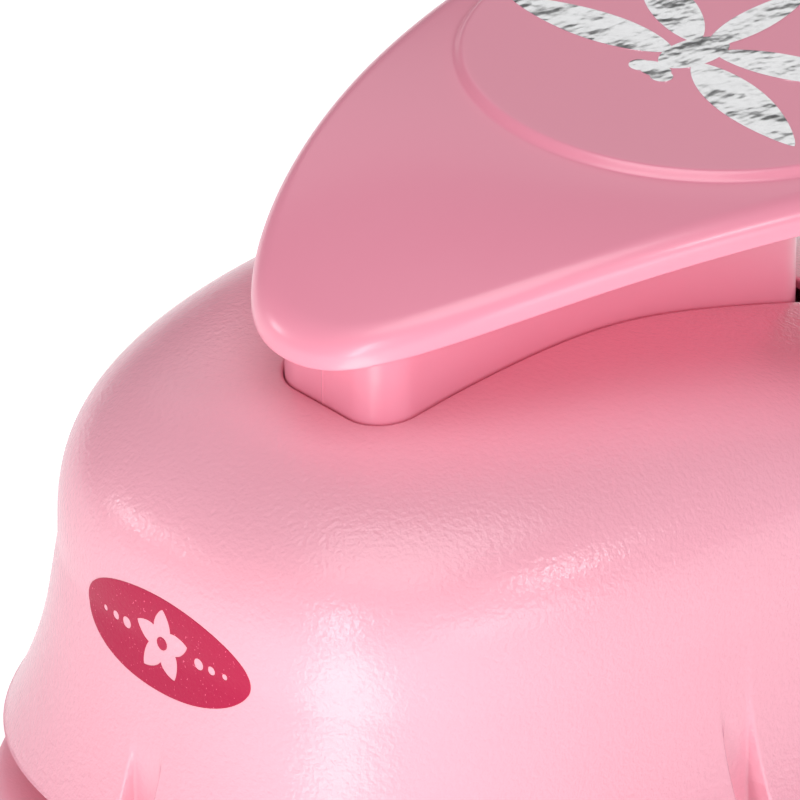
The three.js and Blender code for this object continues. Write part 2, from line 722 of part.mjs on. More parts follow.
// Folded sheet bracket: two ears with feet, joined by a front web.
function pivotBracket() {
  const { inner, outer, frontY, rearY, webTopZ, footX, sheet } = BRACKET;
  const floorZ = GUIDE_PLATE.topZ;
  const ear = new THREE.Shape();
  ear.moveTo(frontY, floorZ);
  ear.lineTo(rearY, floorZ);
  ear.lineTo(rearY, webTopZ + 1);
  ear.lineTo(PIVOT.y + PIVOT.earRadius, PIVOT.z - 1);
  ear.absarc(PIVOT.y, PIVOT.z, PIVOT.earRadius, 0, Math.PI);
  ear.lineTo(frontY, webTopZ);
  ear.closePath();
  const parts = [
    solid(sideSheet(ear, inner, outer)),
    solid(sideSheet(ear, -outer, -inner)),
    solid(block(-outer, outer, frontY, frontY + sheet, floorZ, webTopZ - 1)),
    solid(block(inner, footX, frontY, rearY, floorZ, floorZ + sheet)),
    solid(block(-footX, -inner, frontY, rearY, floorZ, floorZ + sheet)),
  ];
  const holes = BRACKET_RIVETS.map(([, x, y]) => solid(upright(1.2, x, y, 0, 20, 12)));
  const pinHole = solid(crossBar(PIVOT.holeRadius, -20, 20));
  return geometryOf(cut(joined(parts), [pinHole, ...holes]));
}

// ---------------------------------------------------------------- pins, screws, rivets, springs

const PIN_HALF_LENGTH = 11.2;

function pivotPin() {
  const { pinRadius } = PIVOT;
  const profile = [
    [0, -PIN_HALF_LENGTH],
    [pinRadius - 0.3, -PIN_HALF_LENGTH],
    [pinRadius, -PIN_HALF_LENGTH + 0.3],
    [pinRadius, PIN_HALF_LENGTH - 0.3],
    [pinRadius - 0.3, PIN_HALF_LENGTH],
    [0, PIN_HALF_LENGTH],
  ];
  const pin = turned(profile, 20);
  pin.rotateY(Math.PI / 2);
  return pin;
}

// Open retaining ring that snaps over the pin, lying in the YZ plane.
function pinClip() {
  const opening = 0.6;
  const ring = new THREE.Shape();
  ring.absarc(0, 0, 3, opening, FULL_TURN - opening);
  ring.absarc(0, 0, PIVOT.pinRadius + 0.12, FULL_TURN - opening, opening, true);
  ring.closePath();
  const clip = sideSheet(ring, -0.3, 0.3, 9);
  return clip;
}

// A screw pointing up, its head's underside face at z = 0.
function screw(headRadius, headHeight, shankRadius, length) {
  return turned([
    [0, 0],
    [headRadius, 0],
    [headRadius, headHeight],
    [shankRadius, headHeight],
    [shankRadius, length],
    [0, length],
  ], 10);
}

// A rivet pointing up, its domed head on top.
function rivet(shankRadius, shankLength, headRadius, headHeight) {
  return turned([
    [0, 0],
    [shankRadius, 0],
    [shankRadius, shankLength],
    [headRadius, shankLength],
    [headRadius * 0.7, shankLength + headHeight],
    [0, shankLength + headHeight],
  ], 10);
}

class Helix extends THREE.Curve {
  constructor(radius, height, turns) {
    super();
    Object.assign(this, { radius, height, turns });
  }

  getPoint(t, target = new THREE.Vector3()) {
    const angle = t * this.turns * FULL_TURN;
    return target.set(this.radius * Math.cos(angle), this.radius * Math.sin(angle), t * this.height);
  }
}

function returnSpring() {
  const section = new THREE.Shape();
  const sides = 5;
  for (let side = 0; side < sides; side += 1) {
    const angle = (side / sides) * FULL_TURN;
    section[side ? 'lineTo' : 'moveTo'](SPRING.wire * Math.cos(angle), SPRING.wire * Math.sin(angle));
  }
  section.closePath();
  const room = HOLDER.bottomZ - GUIDE_PLATE.topZ - 2 * (SPRING.wire + SPRING.clearance);
  const extrudePath = new Helix(SPRING.radius, room, SPRING.turns);
  const steps = SPRING.turns * SPRING.stepsPerTurn;
  return new THREE.ExtrudeGeometry(section, { steps, extrudePath, bevelEnabled: false });
}

// ---------------------------------------------------------------- assembly

const punch = new THREE.Group();

function place(parent, name, geometry, material, x = 0, y = 0, z = 0) {
  const mesh = new THREE.Mesh(geometry, material);
  mesh.name = name;
  mesh.position.set(x, y, z);
  parent.add(mesh);
  return mesh;
}

function assembleHousing() {
  const housing = new THREE.Group();
  place(housing, 'body_shell', bodyShell(), housingPink);
  place(housing, 'front_print', frontPrint(), printRaspberry);
  place(housing, 'base', base(), basePink);
  BASE_SCREWS.forEach(([name, x, y]) => {
    place(housing, `base_screw_${name}`, screw(2.9, 1.6, 1.5, 14.5), zinc, x, y, 0.5);
  });
  DIE_SCREWS.forEach(([name, x, y]) => {
    place(housing, `die_screw_${name}`, screw(2.4, 1.5, 1.15, 7.2), zinc, x, y, 0.6);
  });
  punch.add(housing);
}

function assembleFrame() {
  const frame = new THREE.Group();
  place(frame, 'die_plate', diePlate(), toolSteel);
  place(frame, 'paper_stop', paperStop(), steel);
  place(frame, 'guide_plate', guidePlate(), steel);
  place(frame, 'pivot_bracket', pivotBracket(), steel);
  FRAME_RIVETS.forEach(([name, x, y]) => {
    place(frame, `frame_rivet_${name}`, rivet(1.5, 5.3, 2.7, 0.9), steel, x, y, DIE_PLATE.bottomZ);
  });
  BRACKET_RIVETS.forEach(([name, x, y]) => {
    place(frame, `bracket_rivet_${name}`, rivet(1.1, 3.5, 1.9, 0.8), steel, x, y, GUIDE_PLATE.bottomZ);
  });
  GUIDE_SCREWS.forEach(([name, x, y]) => {
    place(frame, `guide_screw_${name}`, screw(2.1, 0.9, 1.15, 9), zinc, x, y, GUIDE_PLATE.bottomZ + 0.05);
  });
  place(frame, 'lever_pivot_pin', pivotPin(), toolSteel, 0, PIVOT.y, PIVOT.z);
  const clipX = BRACKET.outer + 0.5;
  place(frame, 'pin_clip_left', pinClip(), springSteel, -clipX, PIVOT.y, PIVOT.z);
  place(frame, 'pin_clip_right', pinClip(), springSteel, clipX, PIVOT.y, PIVOT.z);
  punch.add(frame);
}

function assembleLever() {
  const moving = new THREE.Group();
  place(moving, 'lever', lever(), leverPink);
  place(moving, 'lever_core', leverCore(), steel);
  CORE_SCREWS.forEach(([name, y]) => {
    place(moving, `core_screw_${name}`, screw(2.2, 1.3, 1.1, 8.2), zinc, 0, y, CORE.webBottomZ - 1.4);
  });
  const discTop = new THREE.Group();
  discTop.position.set(0, DISC.y, DISC.z);
  discTop.rotation.x = PLATE.tilt;
  const foilGap = 0.05;
  const foil = geometryOf(dragonfly(1, 0, 0, 0.15, FOIL_X, 0));
  place(discTop, 'motif_foil', foil, silverFoil, 0, 0, DISC.height + foilGap);
  moving.add(discTop);
  punch.add(moving);
}

function assemblePunch() {
  const sliding = new THREE.Group();
  place(sliding, 'punch_die', punchDie(), toolSteel);
  place(sliding, 'punch_holder', punchHolder(), zinc);
  HOLDER_SCREWS.forEach(([name, x]) => {
    const bolt = screw(2, 1.5, 0.8, 9);
    bolt.rotateX(Math.PI);
    place(sliding, `holder_screw_${name}`, bolt, zinc, x, HOLDER_SCREW_Y, HOLDER.topZ - 0.3);
  });
  const springZ = GUIDE_PLATE.topZ + SPRING.wire + SPRING.clearance;
  place(sliding, 'return_spring_front', returnSpring(), springSteel, 0, -16, springZ);
  place(sliding, 'return_spring_left', returnSpring(), springSteel, -9.5, 6.4, springZ);
  place(sliding, 'return_spring_right', returnSpring(), springSteel, 9.5, 6.4, springZ);
  punch.add(sliding);
}

assembleHousing();
assembleFrame();
assembleLever();
assemblePunch();

export default punch;
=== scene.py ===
"""Thumb-lever craft punch: fine meshes, materials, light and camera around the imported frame.

Lengths are written in millimetres and scaled by MM when a mesh is made.
X is across the punch, -Y is the front where the paper goes in, +Z is up.
"""
import math

import bpy
import numpy as np
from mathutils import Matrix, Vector
from mathutils.geometry import delaunay_2d_cdt


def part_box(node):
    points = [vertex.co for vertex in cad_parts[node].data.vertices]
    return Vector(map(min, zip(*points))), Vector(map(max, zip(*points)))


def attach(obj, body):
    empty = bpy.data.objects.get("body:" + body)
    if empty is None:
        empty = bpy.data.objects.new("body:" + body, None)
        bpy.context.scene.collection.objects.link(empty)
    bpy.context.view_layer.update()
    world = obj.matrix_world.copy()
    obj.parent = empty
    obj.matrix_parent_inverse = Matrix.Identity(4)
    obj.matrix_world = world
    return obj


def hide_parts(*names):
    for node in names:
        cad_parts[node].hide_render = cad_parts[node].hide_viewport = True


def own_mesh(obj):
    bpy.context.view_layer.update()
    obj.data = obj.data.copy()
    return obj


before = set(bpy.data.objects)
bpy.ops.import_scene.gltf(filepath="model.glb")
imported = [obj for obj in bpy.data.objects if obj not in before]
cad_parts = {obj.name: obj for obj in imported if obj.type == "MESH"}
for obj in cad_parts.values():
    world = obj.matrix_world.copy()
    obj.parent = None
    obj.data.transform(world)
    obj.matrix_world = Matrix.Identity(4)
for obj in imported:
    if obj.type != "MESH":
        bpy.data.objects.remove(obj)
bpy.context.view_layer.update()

MM = 0.001
TURN = 2 * math.pi
QUARTERS = np.arange(1, 5) / 4

# ---------------------------------------------------------------- driving dimensions

# Housing: rounded-square plan with a domed top that falls away to the rear.
CENTRE_Y = 4.0
FRONT_LENGTH = 42.7
REAR_LENGTH = 36.0
HALF_WIDTH = 27.9
PLAN_POWER = 2.75
SHOULDER_POWER = 3.3
WALL_TOP = 26.0
LIP_Z = 9.5
REAR_BOTTOM = 5.25
WALL = 2.6
ROOF = 2.3
FLOOR_TOP = 13.5
CREST_Z, CREST_BEND, CREST_SLOPE, CREST_SOFT = 42.45, 2.2, 0.34, 4.0
FRONT_FLARE = (0.185, 0.01)
SIDE_FLARE = (0.06, 0.02)
FLARE_START = 5.0
SLOT_END_Y = 12.0

# Centring notches in the wall: half-width and the flat floor that each is cut back to.
DIE_Y = -5.0
FRONT_NOTCH_HALF, FRONT_NOTCH_FLOOR = 1.6, 40.3
SIDE_NOTCH_HALF, SIDE_NOTCH_FLOOR = 1.45, 28.1
NOTCH_LIP = 0.3
NOTCH_ROOT = 0.35

# Lever: arched teardrop plate around a raised disc, on a hollow neck.
DISC_Y, DISC_Z = 18.4, 56.0
DISC_RADIUS, DISC_HEIGHT, DISC_RIM = 19.5, 0.55, 0.55
PLATE_TILT = math.radians(-2)
TIP_LENGTH, TIP_SPREAD, TIP_TAPER, TIP_BLUNT = 44.1, 14.7, 0.042, 7.0
TAIL_LENGTH, TAIL_START = 26.0, 5.5
DISH_START, TIP_DROP = 16.0, 8.4
PLATE_THICK = 2.5
NECK_HALF, NECK_FRONT, NECK_REAR, NECK_CORNER = 6.5, -22.1, 24.0, 3.5
NECK_WALL, NECK_BOTTOM, NECK_GAP, NECK_REAR_ROOM = 2.0, 30.0, 0.06, 2.4
RELIEF_FRONT, RELIEF_REAR, RELIEF_TOP = -9.5, 14.0, 33.0
FOIL_X = -0.6

# Mechanism.
PIVOT_Y, PIVOT_Z = -15.8, 34.0
PIVOT_HOLE = 1.65
DIE_SCALE = 0.85
SEAT_GAP, SINK_DEPTH = 0.25, 1.1
CHIP_HALF, CHIP_FRONT, CHIP_REAR = 14.1, -15.0, 8.5
SPRING_SPOTS = {"front": (0, -16), "left": (-9.5, 6.4), "right": (9.5, 6.4)}
FILM_ROOT = -0.02


def box_mm(node):
    """Lowest and highest corner of a CAD node, in millimetres."""
    low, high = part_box(node)
    return np.array(low) / MM, np.array(high) / MM


# ---------------------------------------------------------------- mesh helpers

def linked(name, data):
    """An object in the scene for a mesh, a light or a camera."""
    made = bpy.data.objects.new(name, data)
    bpy.context.scene.collection.objects.link(made)
    return made


def mesh_from(name, part):
    """A mesh from a part: (vertices in millimetres, faces)."""
    vertices, faces = part
    mesh = bpy.data.meshes.new(name)
    mesh.from_pydata((np.asarray(vertices, float) * MM).tolist(), [], [list(map(int, f)) for f in faces])
    return mesh


def smoothed(mesh, sharp):
    mesh.polygons.foreach_set("use_smooth", [True] * len(mesh.polygons))
    mesh.set_sharp_from_angle(angle=math.radians(sharp))


def mesh_object(name, part, material, body, node, slot, sharp=35):
    """A smooth-shaded object from a part, riding on a body and standing for a CAD node."""
    mesh = mesh_from(name, part)
    mesh.validate()
    smoothed(mesh, sharp)
    mesh.materials.append(material)
    piece = linked(name, mesh)
    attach(piece, body)
    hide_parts(node)
    return piece


def merged(parts):
    """Several (vertices, faces) pairs as one."""
    vertices = []
    faces = []
    for part_vertices, part_faces in parts:
        start = len(vertices)
        vertices.extend(np.asarray(part_vertices, float).tolist())
        faces.extend([[i + start for i in face] for face in part_faces])
    return vertices, faces


def compact(vertices, faces):
    """The part without the vertices that no face uses."""
    used = np.unique([i for face in faces for i in face])
    renumber = np.full(len(vertices), -1)
    renumber[used] = np.arange(len(used))
    return vertices[used], [[int(renumber[i]) for i in face] for face in faces]


def at_height(plan, z):
    """Plan points lifted to one height, or each to its own."""
    return np.column_stack([plan, np.broadcast_to(z, len(plan))])


def lofted(rings, closed=False, caps=(False, False)):
    """Quads through rings of equal count; closed joins the last ring to the first."""
    count = len(rings[0])
    vertices = np.concatenate(rings)
    faces = []
    for row in range(len(rings) if closed else len(rings) - 1):
        here, above = row * count, (row + 1) % len(rings) * count
        for column in range(count):
            beside = (column + 1) % count
            faces.append([here + column, here + beside, above + beside, above + column])
    if caps[0]:
        faces.append(list(range(count))[::-1])
    if caps[1]:
        faces.append(list(range(len(vertices) - count, len(vertices))))
    return vertices, faces


def sealed(rings):
    """A loft closed at both ends."""
    return lofted(rings, caps=(True, True))


def prism(loop, z0, z1):
    return sealed([at_height(loop, z0), at_height(loop, z1)])


def ring_at(x, y, radius, z, steps=24):
    return at_height(circle(x, y, radius, steps), z)


def turned(profile, segments=40):
    """A piece turned about Z from (radius, z) points, bottom to top."""
    return sealed([ring_at(0, 0, r, z, segments) for r, z in profile])


def moved(part, offset):
    vertices, faces = part
    return np.asarray(vertices, float) + np.asarray(offset, float), faces


def axis_swapped(part, columns):
    """The part with its axes taken in another order; columns names the old axis for each new one."""
    vertices, faces = part
    return np.asarray(vertices, float)[:, columns], faces


def arc(x, y, radius, start, end, steps=24):
    """Points along an arc; angles in turns."""
    angles = np.linspace(start, end, steps) * TURN
    return np.stack([x + radius * np.cos(angles), y + radius * np.sin(angles)], 1)


def circle(x, y, radius, steps=32):
    return arc(x, y, radius, 0, 1, steps + 1)[:-1]


def rounded_rectangle(x0, x1, y0, y1, radius, steps=12):
    """Counter-clockwise outline with round corners."""
    west, east, south, north = x0 + radius, x1 - radius, y0 + radius, y1 - radius
    corners = ((east, south, -0.25), (east, north, 0), (west, north, 0.25), (west, south, 0.5))
    return np.concatenate([arc(x, y, radius, start, start + 0.25, steps + 1) for x, y, start in corners])


def inside(points, loop):
    """Which points lie inside a closed loop."""
    x, y = points[:, 0], points[:, 1]
    hit = np.zeros(len(points), bool)
    for (x0, y0), (x1, y1) in zip(loop, np.roll(loop, -1, axis=0)):
        crosses = (y0 > y) != (y1 > y)
        rise = y1 - y0 if y1 != y0 else 1e-12
        hit ^= crosses & (x < (x1 - x0) * (y - y0) / rise + x0)
    return hit


def region(solids, holes=(), fill=()):
    """Triangles of the union of some loops less some holes: points and counter-clockwise faces."""
    points = []
    edges = []
    for loop in [*solids, *holes]:
        start = len(points)
        count = len(loop)
        points.extend(Vector(p) for p in loop)
        edges.extend((start + i, start + (i + 1) % count) for i in range(count))
    points.extend(Vector(p) for p in fill)
    out_points, _, out_faces, *_ = delaunay_2d_cdt(points, edges, [], 0, 1e-6)
    flat = np.array([tuple(p) for p in out_points])
    triangles = np.array([list(face) for face in out_faces])
    middles = flat[triangles].mean(1)
    kept = np.zeros(len(triangles), bool)
    for loop in solids:
        kept |= inside(middles, loop)
    for loop in holes:
        kept &= ~inside(middles, loop)
    used = triangles[kept]
    a, b, c = flat[used[:, 0]], flat[used[:, 1]], flat[used[:, 2]]
    backwards = (b - a)[:, 0] * (c - a)[:, 1] - (b - a)[:, 1] * (c - a)[:, 0] < 0
    used[backwards] = used[backwards][:, ::-1]
    points, faces = compact(flat, used)
    return points, np.array(faces)


def grid(x0, x1, y0, y1, step):
    """Points of a square grid, for a film's inside."""
    x, y = np.meshgrid(np.arange(x0, x1, step), np.arange(y0, y1, step))
    return np.stack([x.ravel(), y.ravel()], 1)


def boundary_edges(triangles):
    """Directed edges used by one triangle only."""
    edges = set()
    for a, b, c in triangles:
        edges.update(((a, b), (b, c), (c, a)))
    return [(a, b) for a, b in edges if (b, a) not in edges]


def boundary_normals(points, edges):
    """Outward unit normal at each boundary vertex, with the length that keeps a mitred offset true."""
    push = np.zeros_like(points)
    for a, b in edges:
        along = points[b] - points[a]
        normal = np.array([along[1], -along[0]]) / max(np.hypot(*along), 1e-9)
        push[a] += normal
        push[b] += normal
    size = np.maximum(np.hypot(*push.T), 1e-9)[:, None]
    return push / size * np.minimum(2 / size, 1.6)


def plate(solids, holes, z0, z1, edge):
    """A flat piece from outline loops, with chamfered edges top and bottom."""
    points, triangles = region(solids, holes)
    edges = boundary_edges(triangles)
    normals = boundary_normals(points, edges)
    count = len(points)
    inner = points - normals * edge
    levels = [(inner, z0), (points, z0 + edge), (points, z1 - edge), (inner, z1)]
    vertices = np.concatenate([at_height(p, z) for p, z in levels])
    faces = [list(t[::-1]) for t in triangles] + [list(t + 3 * count) for t in triangles]
    for level in range(3):
        low, high = level * count, (level + 1) * count
        faces.extend([[a + low, b + low, b + high, a + high] for a, b in edges])
    return compact(vertices, faces)


def film(points, triangles, place, thickness):
    """A thin printed or stamped film over a curved surface; place maps flat points and a lift to 3-D."""
    count = len(points)
    faces = [list(t) for t in triangles]
    faces.extend([[b, a, a + count, b + count] for a, b in boundary_edges(triangles)])
    return compact(np.concatenate([place(points, thickness), place(points, FILM_ROOT)]), faces)


# ---------------------------------------------------------------- housing surface

def plan_direction(angle):
    """Direction of the superellipse plan outline at an angle."""
    cos, sin = np.cos(angle), np.sin(angle)
    reach = (np.abs(cos) ** PLAN_POWER + np.abs(sin) ** PLAN_POWER) ** (-1 / PLAN_POWER)
    return cos * reach, sin * reach


def crest(y):
    return CREST_Z - CREST_SLOPE * CREST_SOFT * np.log1p(np.exp((y - CREST_BEND) / CREST_SOFT))


def dome_z(x, y, inset=0.0, sink=0.0):
    """Height of the dome over a plan point; inset and sink give the inner surface."""
    length = np.where(y < CENTRE_Y, FRONT_LENGTH, REAR_LENGTH) - inset
    across = np.abs(x) / (HALF_WIDTH - inset)
    along = (y - CENTRE_Y) / length
    t = np.clip((across ** PLAN_POWER + np.abs(along) ** PLAN_POWER) ** (1 / PLAN_POWER), 1e-6, 1)
    edge_y = CENTRE_Y + length * along / t
    drop = (crest(edge_y) - WALL_TOP) * (1 - (1 - t ** SHOULDER_POWER) ** (1 / SHOULDER_POWER))
    return crest(y) - drop - sink * (1 - t)


def flare(depth, shape):
    lean, sweep = shape
    return lean * depth + sweep * np.maximum(0, depth - FLARE_START) ** 2


def wall_xy(angle, z, inset=0.0):
    """Plan point of the wall at an angle and height."""
    dx, dy = plan_direction(angle)
    length = np.where(dy < 0, FRONT_LENGTH, REAR_LENGTH) - inset
    share = dy ** 2 / (dx ** 2 + dy ** 2)
    depth = WALL_TOP - z
    spread = share * flare(depth, FRONT_FLARE) + (1 - share) * flare(depth, SIDE_FLARE)
    return (HALF_WIDTH - inset + spread) * dx, CENTRE_Y + (length + spread) * dy


def halved(below, low, high, rounds=48):
    """Where below(value) turns false between low and high, by halving."""
    for _ in range(rounds):
        middle = (low + high) / 2
        under = below(middle)
        low = np.where(under, middle, low)
        high = np.where(under, high, middle)
    return (low + high) / 2


def solve_angle(target, z, axis, low, high):
    """Angle between low and high where the wall's x (axis 0) or y (axis 1) reaches the target."""
    low = np.full(np.shape(z), low, float)
    high = np.full(np.shape(z), high, float)
    rising = wall_xy(high, z)[axis] > wall_xy(low, z)[axis]
    return halved(lambda angle: (wall_xy(angle, z)[axis] < target) == rising, low, high)


def neck_outline_hit(angle, grow):
    """Point and outward normal on the neck opening's outline in a stretched direction."""
    x_half = NECK_HALF + grow
    y_low, y_high = NECK_FRONT - grow, NECK_REAR + NECK_REAR_ROOM
    middle, y_half = (y_low + y_high) / 2, (y_high - y_low) / 2
    radius = NECK_CORNER + grow
    core = np.array([x_half - radius, y_half - radius])
    spoke = np.stack([x_half * np.cos(angle), y_half * np.sin(angle)], 1)

    def within(scale):
        p = np.abs(spoke * scale[:, None])
        in_corner = np.hypot(*np.maximum(p - core, 0).T) > radius
        return ~(in_corner | (p[:, 0] > x_half) | (p[:, 1] > y_half))

    scale = halved(within, np.zeros(len(angle)), np.full(len(angle), 2.0))
    point = spoke * scale[:, None]
    corner = np.maximum(np.abs(point) - core, 0)
    normal = corner * np.sign(point)
    normal /= np.maximum(np.hypot(normal[:, 0], normal[:, 1]), 1e-9)[:, None]
    return point + [0, middle], normal


# ---------------------------------------------------------------- housing columns

# Each window of special columns: axis and place of its middle, then the angles that hold it.
WINDOWS = {
    ("front", 0): (0, 0.0, 1.25 * math.pi, 1.75 * math.pi),
    ("side", 1): (1, DIE_Y, 1.6 * math.pi, 2 * math.pi),
    ("side", -1): (1, DIE_Y, math.pi, 1.4 * math.pi),
    ("slot", 1): (1, SLOT_END_Y, 2 * math.pi, 2.3 * math.pi),
    ("slot", -1): (1, SLOT_END_Y, 0.7 * math.pi, math.pi),
}
WINDOW_ROOM = 0.024
SLOT_OFFSETS = (-1.3, -0.7, -0.45, -0.25, -0.1, 0.0, 0.05, 0.15, 0.3, 0.5, 0.9, 1.4)


def notch_offsets(half):
    """Offsets across a notch: floor, root fillet, steep side, lip fillet, margin."""
    draft = 0.05
    root = [half - draft - NOTCH_ROOT * (1 - s) for s in (0, 0.3, 0.6, 0.85, 1)]
    lip = [half + draft + NOTCH_LIP * s for s in (0, 0.15, 0.4, 0.7, 1)]
    found = [0.0, (half - NOTCH_ROOT) * 0.5, *root, *lip, half + NOTCH_LIP + 0.35]
    return sorted({round(side * offset, 6) for offset in found for side in (-1, 1)})


OFFSETS = {
    "front": notch_offsets(FRONT_NOTCH_HALF),
    "side": notch_offsets(SIDE_NOTCH_HALF),
    "slot": SLOT_OFFSETS,
}


def wrapped(angle):
    """Angle from the middle of the rear, so that the seam is away from every special column."""
    return (angle - math.pi / 2) % TURN + math.pi / 2


class Columns:
    """The housing's upright columns: plain ones by angle, straight ones at notches and slot ends."""

    def __init__(self, around):
        rows = [(wrapped(TURN * i / around - math.pi / 2), "plain", 0.0, 0) for i in range(around)]
        for (kind, side), (axis, middle, low, high) in WINDOWS.items():
            places = middle + np.array(OFFSETS[kind])
            angles = wrapped(solve_angle(places, np.full(len(places), WALL_TOP), axis, low, high))
            first, last = min(angles) - WINDOW_ROOM, max(angles) + WINDOW_ROOM
            rows = [row for row in rows if not first < row[0] < last]
            rows += [(angle, kind, offset, side) for angle, offset in zip(angles, OFFSETS[kind])]
        rows.sort()
        self.angle, self.kind, self.offset, self.side = (np.array(column) for column in zip(*rows))

    def at(self, z):
        """Plan points of every column at heights z, one for each column, before any notch is cut."""
        angle = self.angle.copy()
        for (kind, side), (axis, middle, low, high) in WINDOWS.items():
            mine = (self.kind == kind) & (self.side == side)
            angle[mine] = solve_angle(middle + self.offset[mine], z[mine], axis, low, high)
        return wall_xy(angle, z)

    @staticmethod
    def notch_depth(reach, half, offset):
        """How far a notch cuts in at an offset from its middle, for a full depth."""
        full = (reach + np.sqrt(reach ** 2 + 0.02)) / 2
        past = np.abs(offset) - half
        lip = np.clip(past / NOTCH_LIP, 0, 1)
        convex = np.minimum(NOTCH_LIP * (1 - np.sqrt(1 - (1 - lip) ** 2)), full * 0.4 * (1 - lip))
        root = np.clip(-past / NOTCH_ROOT, 0, 1)
        concave = np.minimum(NOTCH_ROOT * (1 - np.sqrt(1 - (1 - root) ** 2)), full * 0.4 * (1 - root))
        return np.where(past > 0, convex, full - concave)

    def outer(self, z):
        """Plan points of the outer wall at heights z, with the notches cut."""
        x, y = self.at(z)
        front = self.kind == "front"
        depth = self.notch_depth(-y[front] - FRONT_NOTCH_FLOOR, FRONT_NOTCH_HALF, self.offset[front])
        y[front] += depth
        side = self.kind == "side"
        depth = self.notch_depth(np.abs(x[side]) - SIDE_NOTCH_FLOOR, SIDE_NOTCH_HALF, self.offset[side])
        x[side] -= depth * np.sign(x[side])
        return x, y

    def bottom(self):
        """Height of the wall's bottom edge: the lip in front, a deeper skirt behind the slot's end."""
        y = self.at(np.full(len(self.angle), LIP_Z))[1] - SLOT_END_Y
        root, lip = 0.5, 0.5
        ceiling = LIP_Z - root + np.sqrt(np.maximum(root ** 2 - np.clip(y + root, 0, root) ** 2, 0))
        heel = REAR_BOTTOM + lip - np.sqrt(np.maximum(lip ** 2 - np.clip(lip - y, 0, lip) ** 2, 0))
        return np.where(y <= 0, ceiling, heel)


def housing_mesh():
    """The whole moulded housing as one closed skin: opening, dome, wall, skirt, floor and cavity."""
    columns = Columns(440)
    ones = np.ones(len(columns.angle))
    rings = []

    def add(plan, z):
        rings.append(at_height(plan, z))

    def roof(plan, *inner):
        return dome_z(plan[:, 0], plan[:, 1], *inner)

    def outer(z):
        return np.stack(columns.outer(np.maximum(z * ones, LIP_Z)), 1)

    # opening wall and its rounded lip
    opening, outward = neck_outline_hit(columns.angle, NECK_GAP)
    lip = 0.38
    add(opening, roof(opening, WALL, ROOF))
    add(opening, (roof(opening, WALL, ROOF) + roof(opening) - lip) / 2)
    for share in np.linspace(0, 0.8, 5):
        turn = share * math.pi / 2
        plan = opening + outward * lip * (1 - math.cos(turn))
        add(plan, roof(plan) - lip * (1 - math.sin(turn)))
    # dome, denser towards the shoulder
    start = opening + outward * lip
    edge = outer(WALL_TOP)
    dense_from = 0.72
    bend = math.asin(dense_from ** (SHOULDER_POWER / 2))
    steps = list(np.linspace(0, dense_from, 34)[:-1])
    steps += [math.sin(p) ** (2 / SHOULDER_POWER) for p in np.linspace(bend, math.pi / 2, 44)[:-1]]
    for share in steps:
        plan = start + (edge - start) * share
        add(plan, roof(plan))
    # outer wall to the rounded bottom edge
    bottom = columns.bottom()
    knee, round_edge = LIP_Z + 0.9, 0.35
    for z in np.linspace(WALL_TOP, knee, 46):
        add(outer(z), z)
    for share in QUARTERS:
        z = knee + (bottom + round_edge - knee) * share
        add(outer(z), z)
    low_plan = outer(bottom)
    centre = np.array([0, CENTRE_Y])
    inward = (centre - low_plan) / np.hypot(*(centre - low_plan).T)[:, None]
    for turn in QUARTERS * math.pi / 2:
        plan = low_plan + inward * round_edge * (1 - math.cos(turn))
        add(plan, bottom + round_edge * (1 - math.sin(turn)))
    # skirt, seat of the guide plate, window and cavity
    skirt = np.stack(wall_xy(columns.angle, WALL_TOP), 1)
    add(skirt * [1.004, 1], bottom)
    add(skirt + (centre - skirt) * 0.006, LIP_Z)
    low, high = box_mm("guide_plate")
    seat = box_hit(edge, low[0] - SEAT_GAP, high[0] + SEAT_GAP, low[1] - SEAT_GAP, high[1] + SEAT_GAP)
    ledge = 5.0
    window = box_hit(edge, low[0] + ledge, high[0] - ledge, low[1] + ledge - 0.6, high[1] + SEAT_GAP)
    cavity = np.stack(wall_xy(columns.angle, WALL_TOP, WALL), 1)
    for plan, z in ((seat, LIP_Z), (seat, high[2]), (window, high[2]), (window, FLOOR_TOP),
                    (cavity, FLOOR_TOP), (cavity, WALL_TOP - 6)):
        add(plan, z)
    for share in (1, 0.99, 0.96, 0.9, 0.8, 0.65, 0.45, 0.2):
        plan = opening + (cavity - opening) * share
        add(plan, roof(plan, WALL, ROOF))
    return lofted(rings[::-1], closed=True)


def box_hit(points, x0, x1, y0, y1):
    """Where the lines from the middle of a rectangle to some points cross the rectangle."""
    middle = np.array([(x0 + x1) / 2, (y0 + y1) / 2])
    half = np.array([(x1 - x0) / 2, (y1 - y0) / 2])
    reach = np.abs((points - middle) / half).max(1)
    return middle + (points - middle) / reach[:, None]


def boss(x, y, radius, hole, z0, z1, depth):
    """A round screw post with a blind hole from below."""
    profile = [(0.01, depth), (hole, depth), (hole, z0), (radius, z0), (radius, z1), (0.01, z1)]
    return sealed([ring_at(x, y, r, z) for r, z in profile])


# ---------------------------------------------------------------- lever

def plate_top(distance):
    beyond = np.maximum(0, distance - DISH_START) / (TIP_LENGTH - DISH_START)
    return -TIP_DROP * beyond ** 2


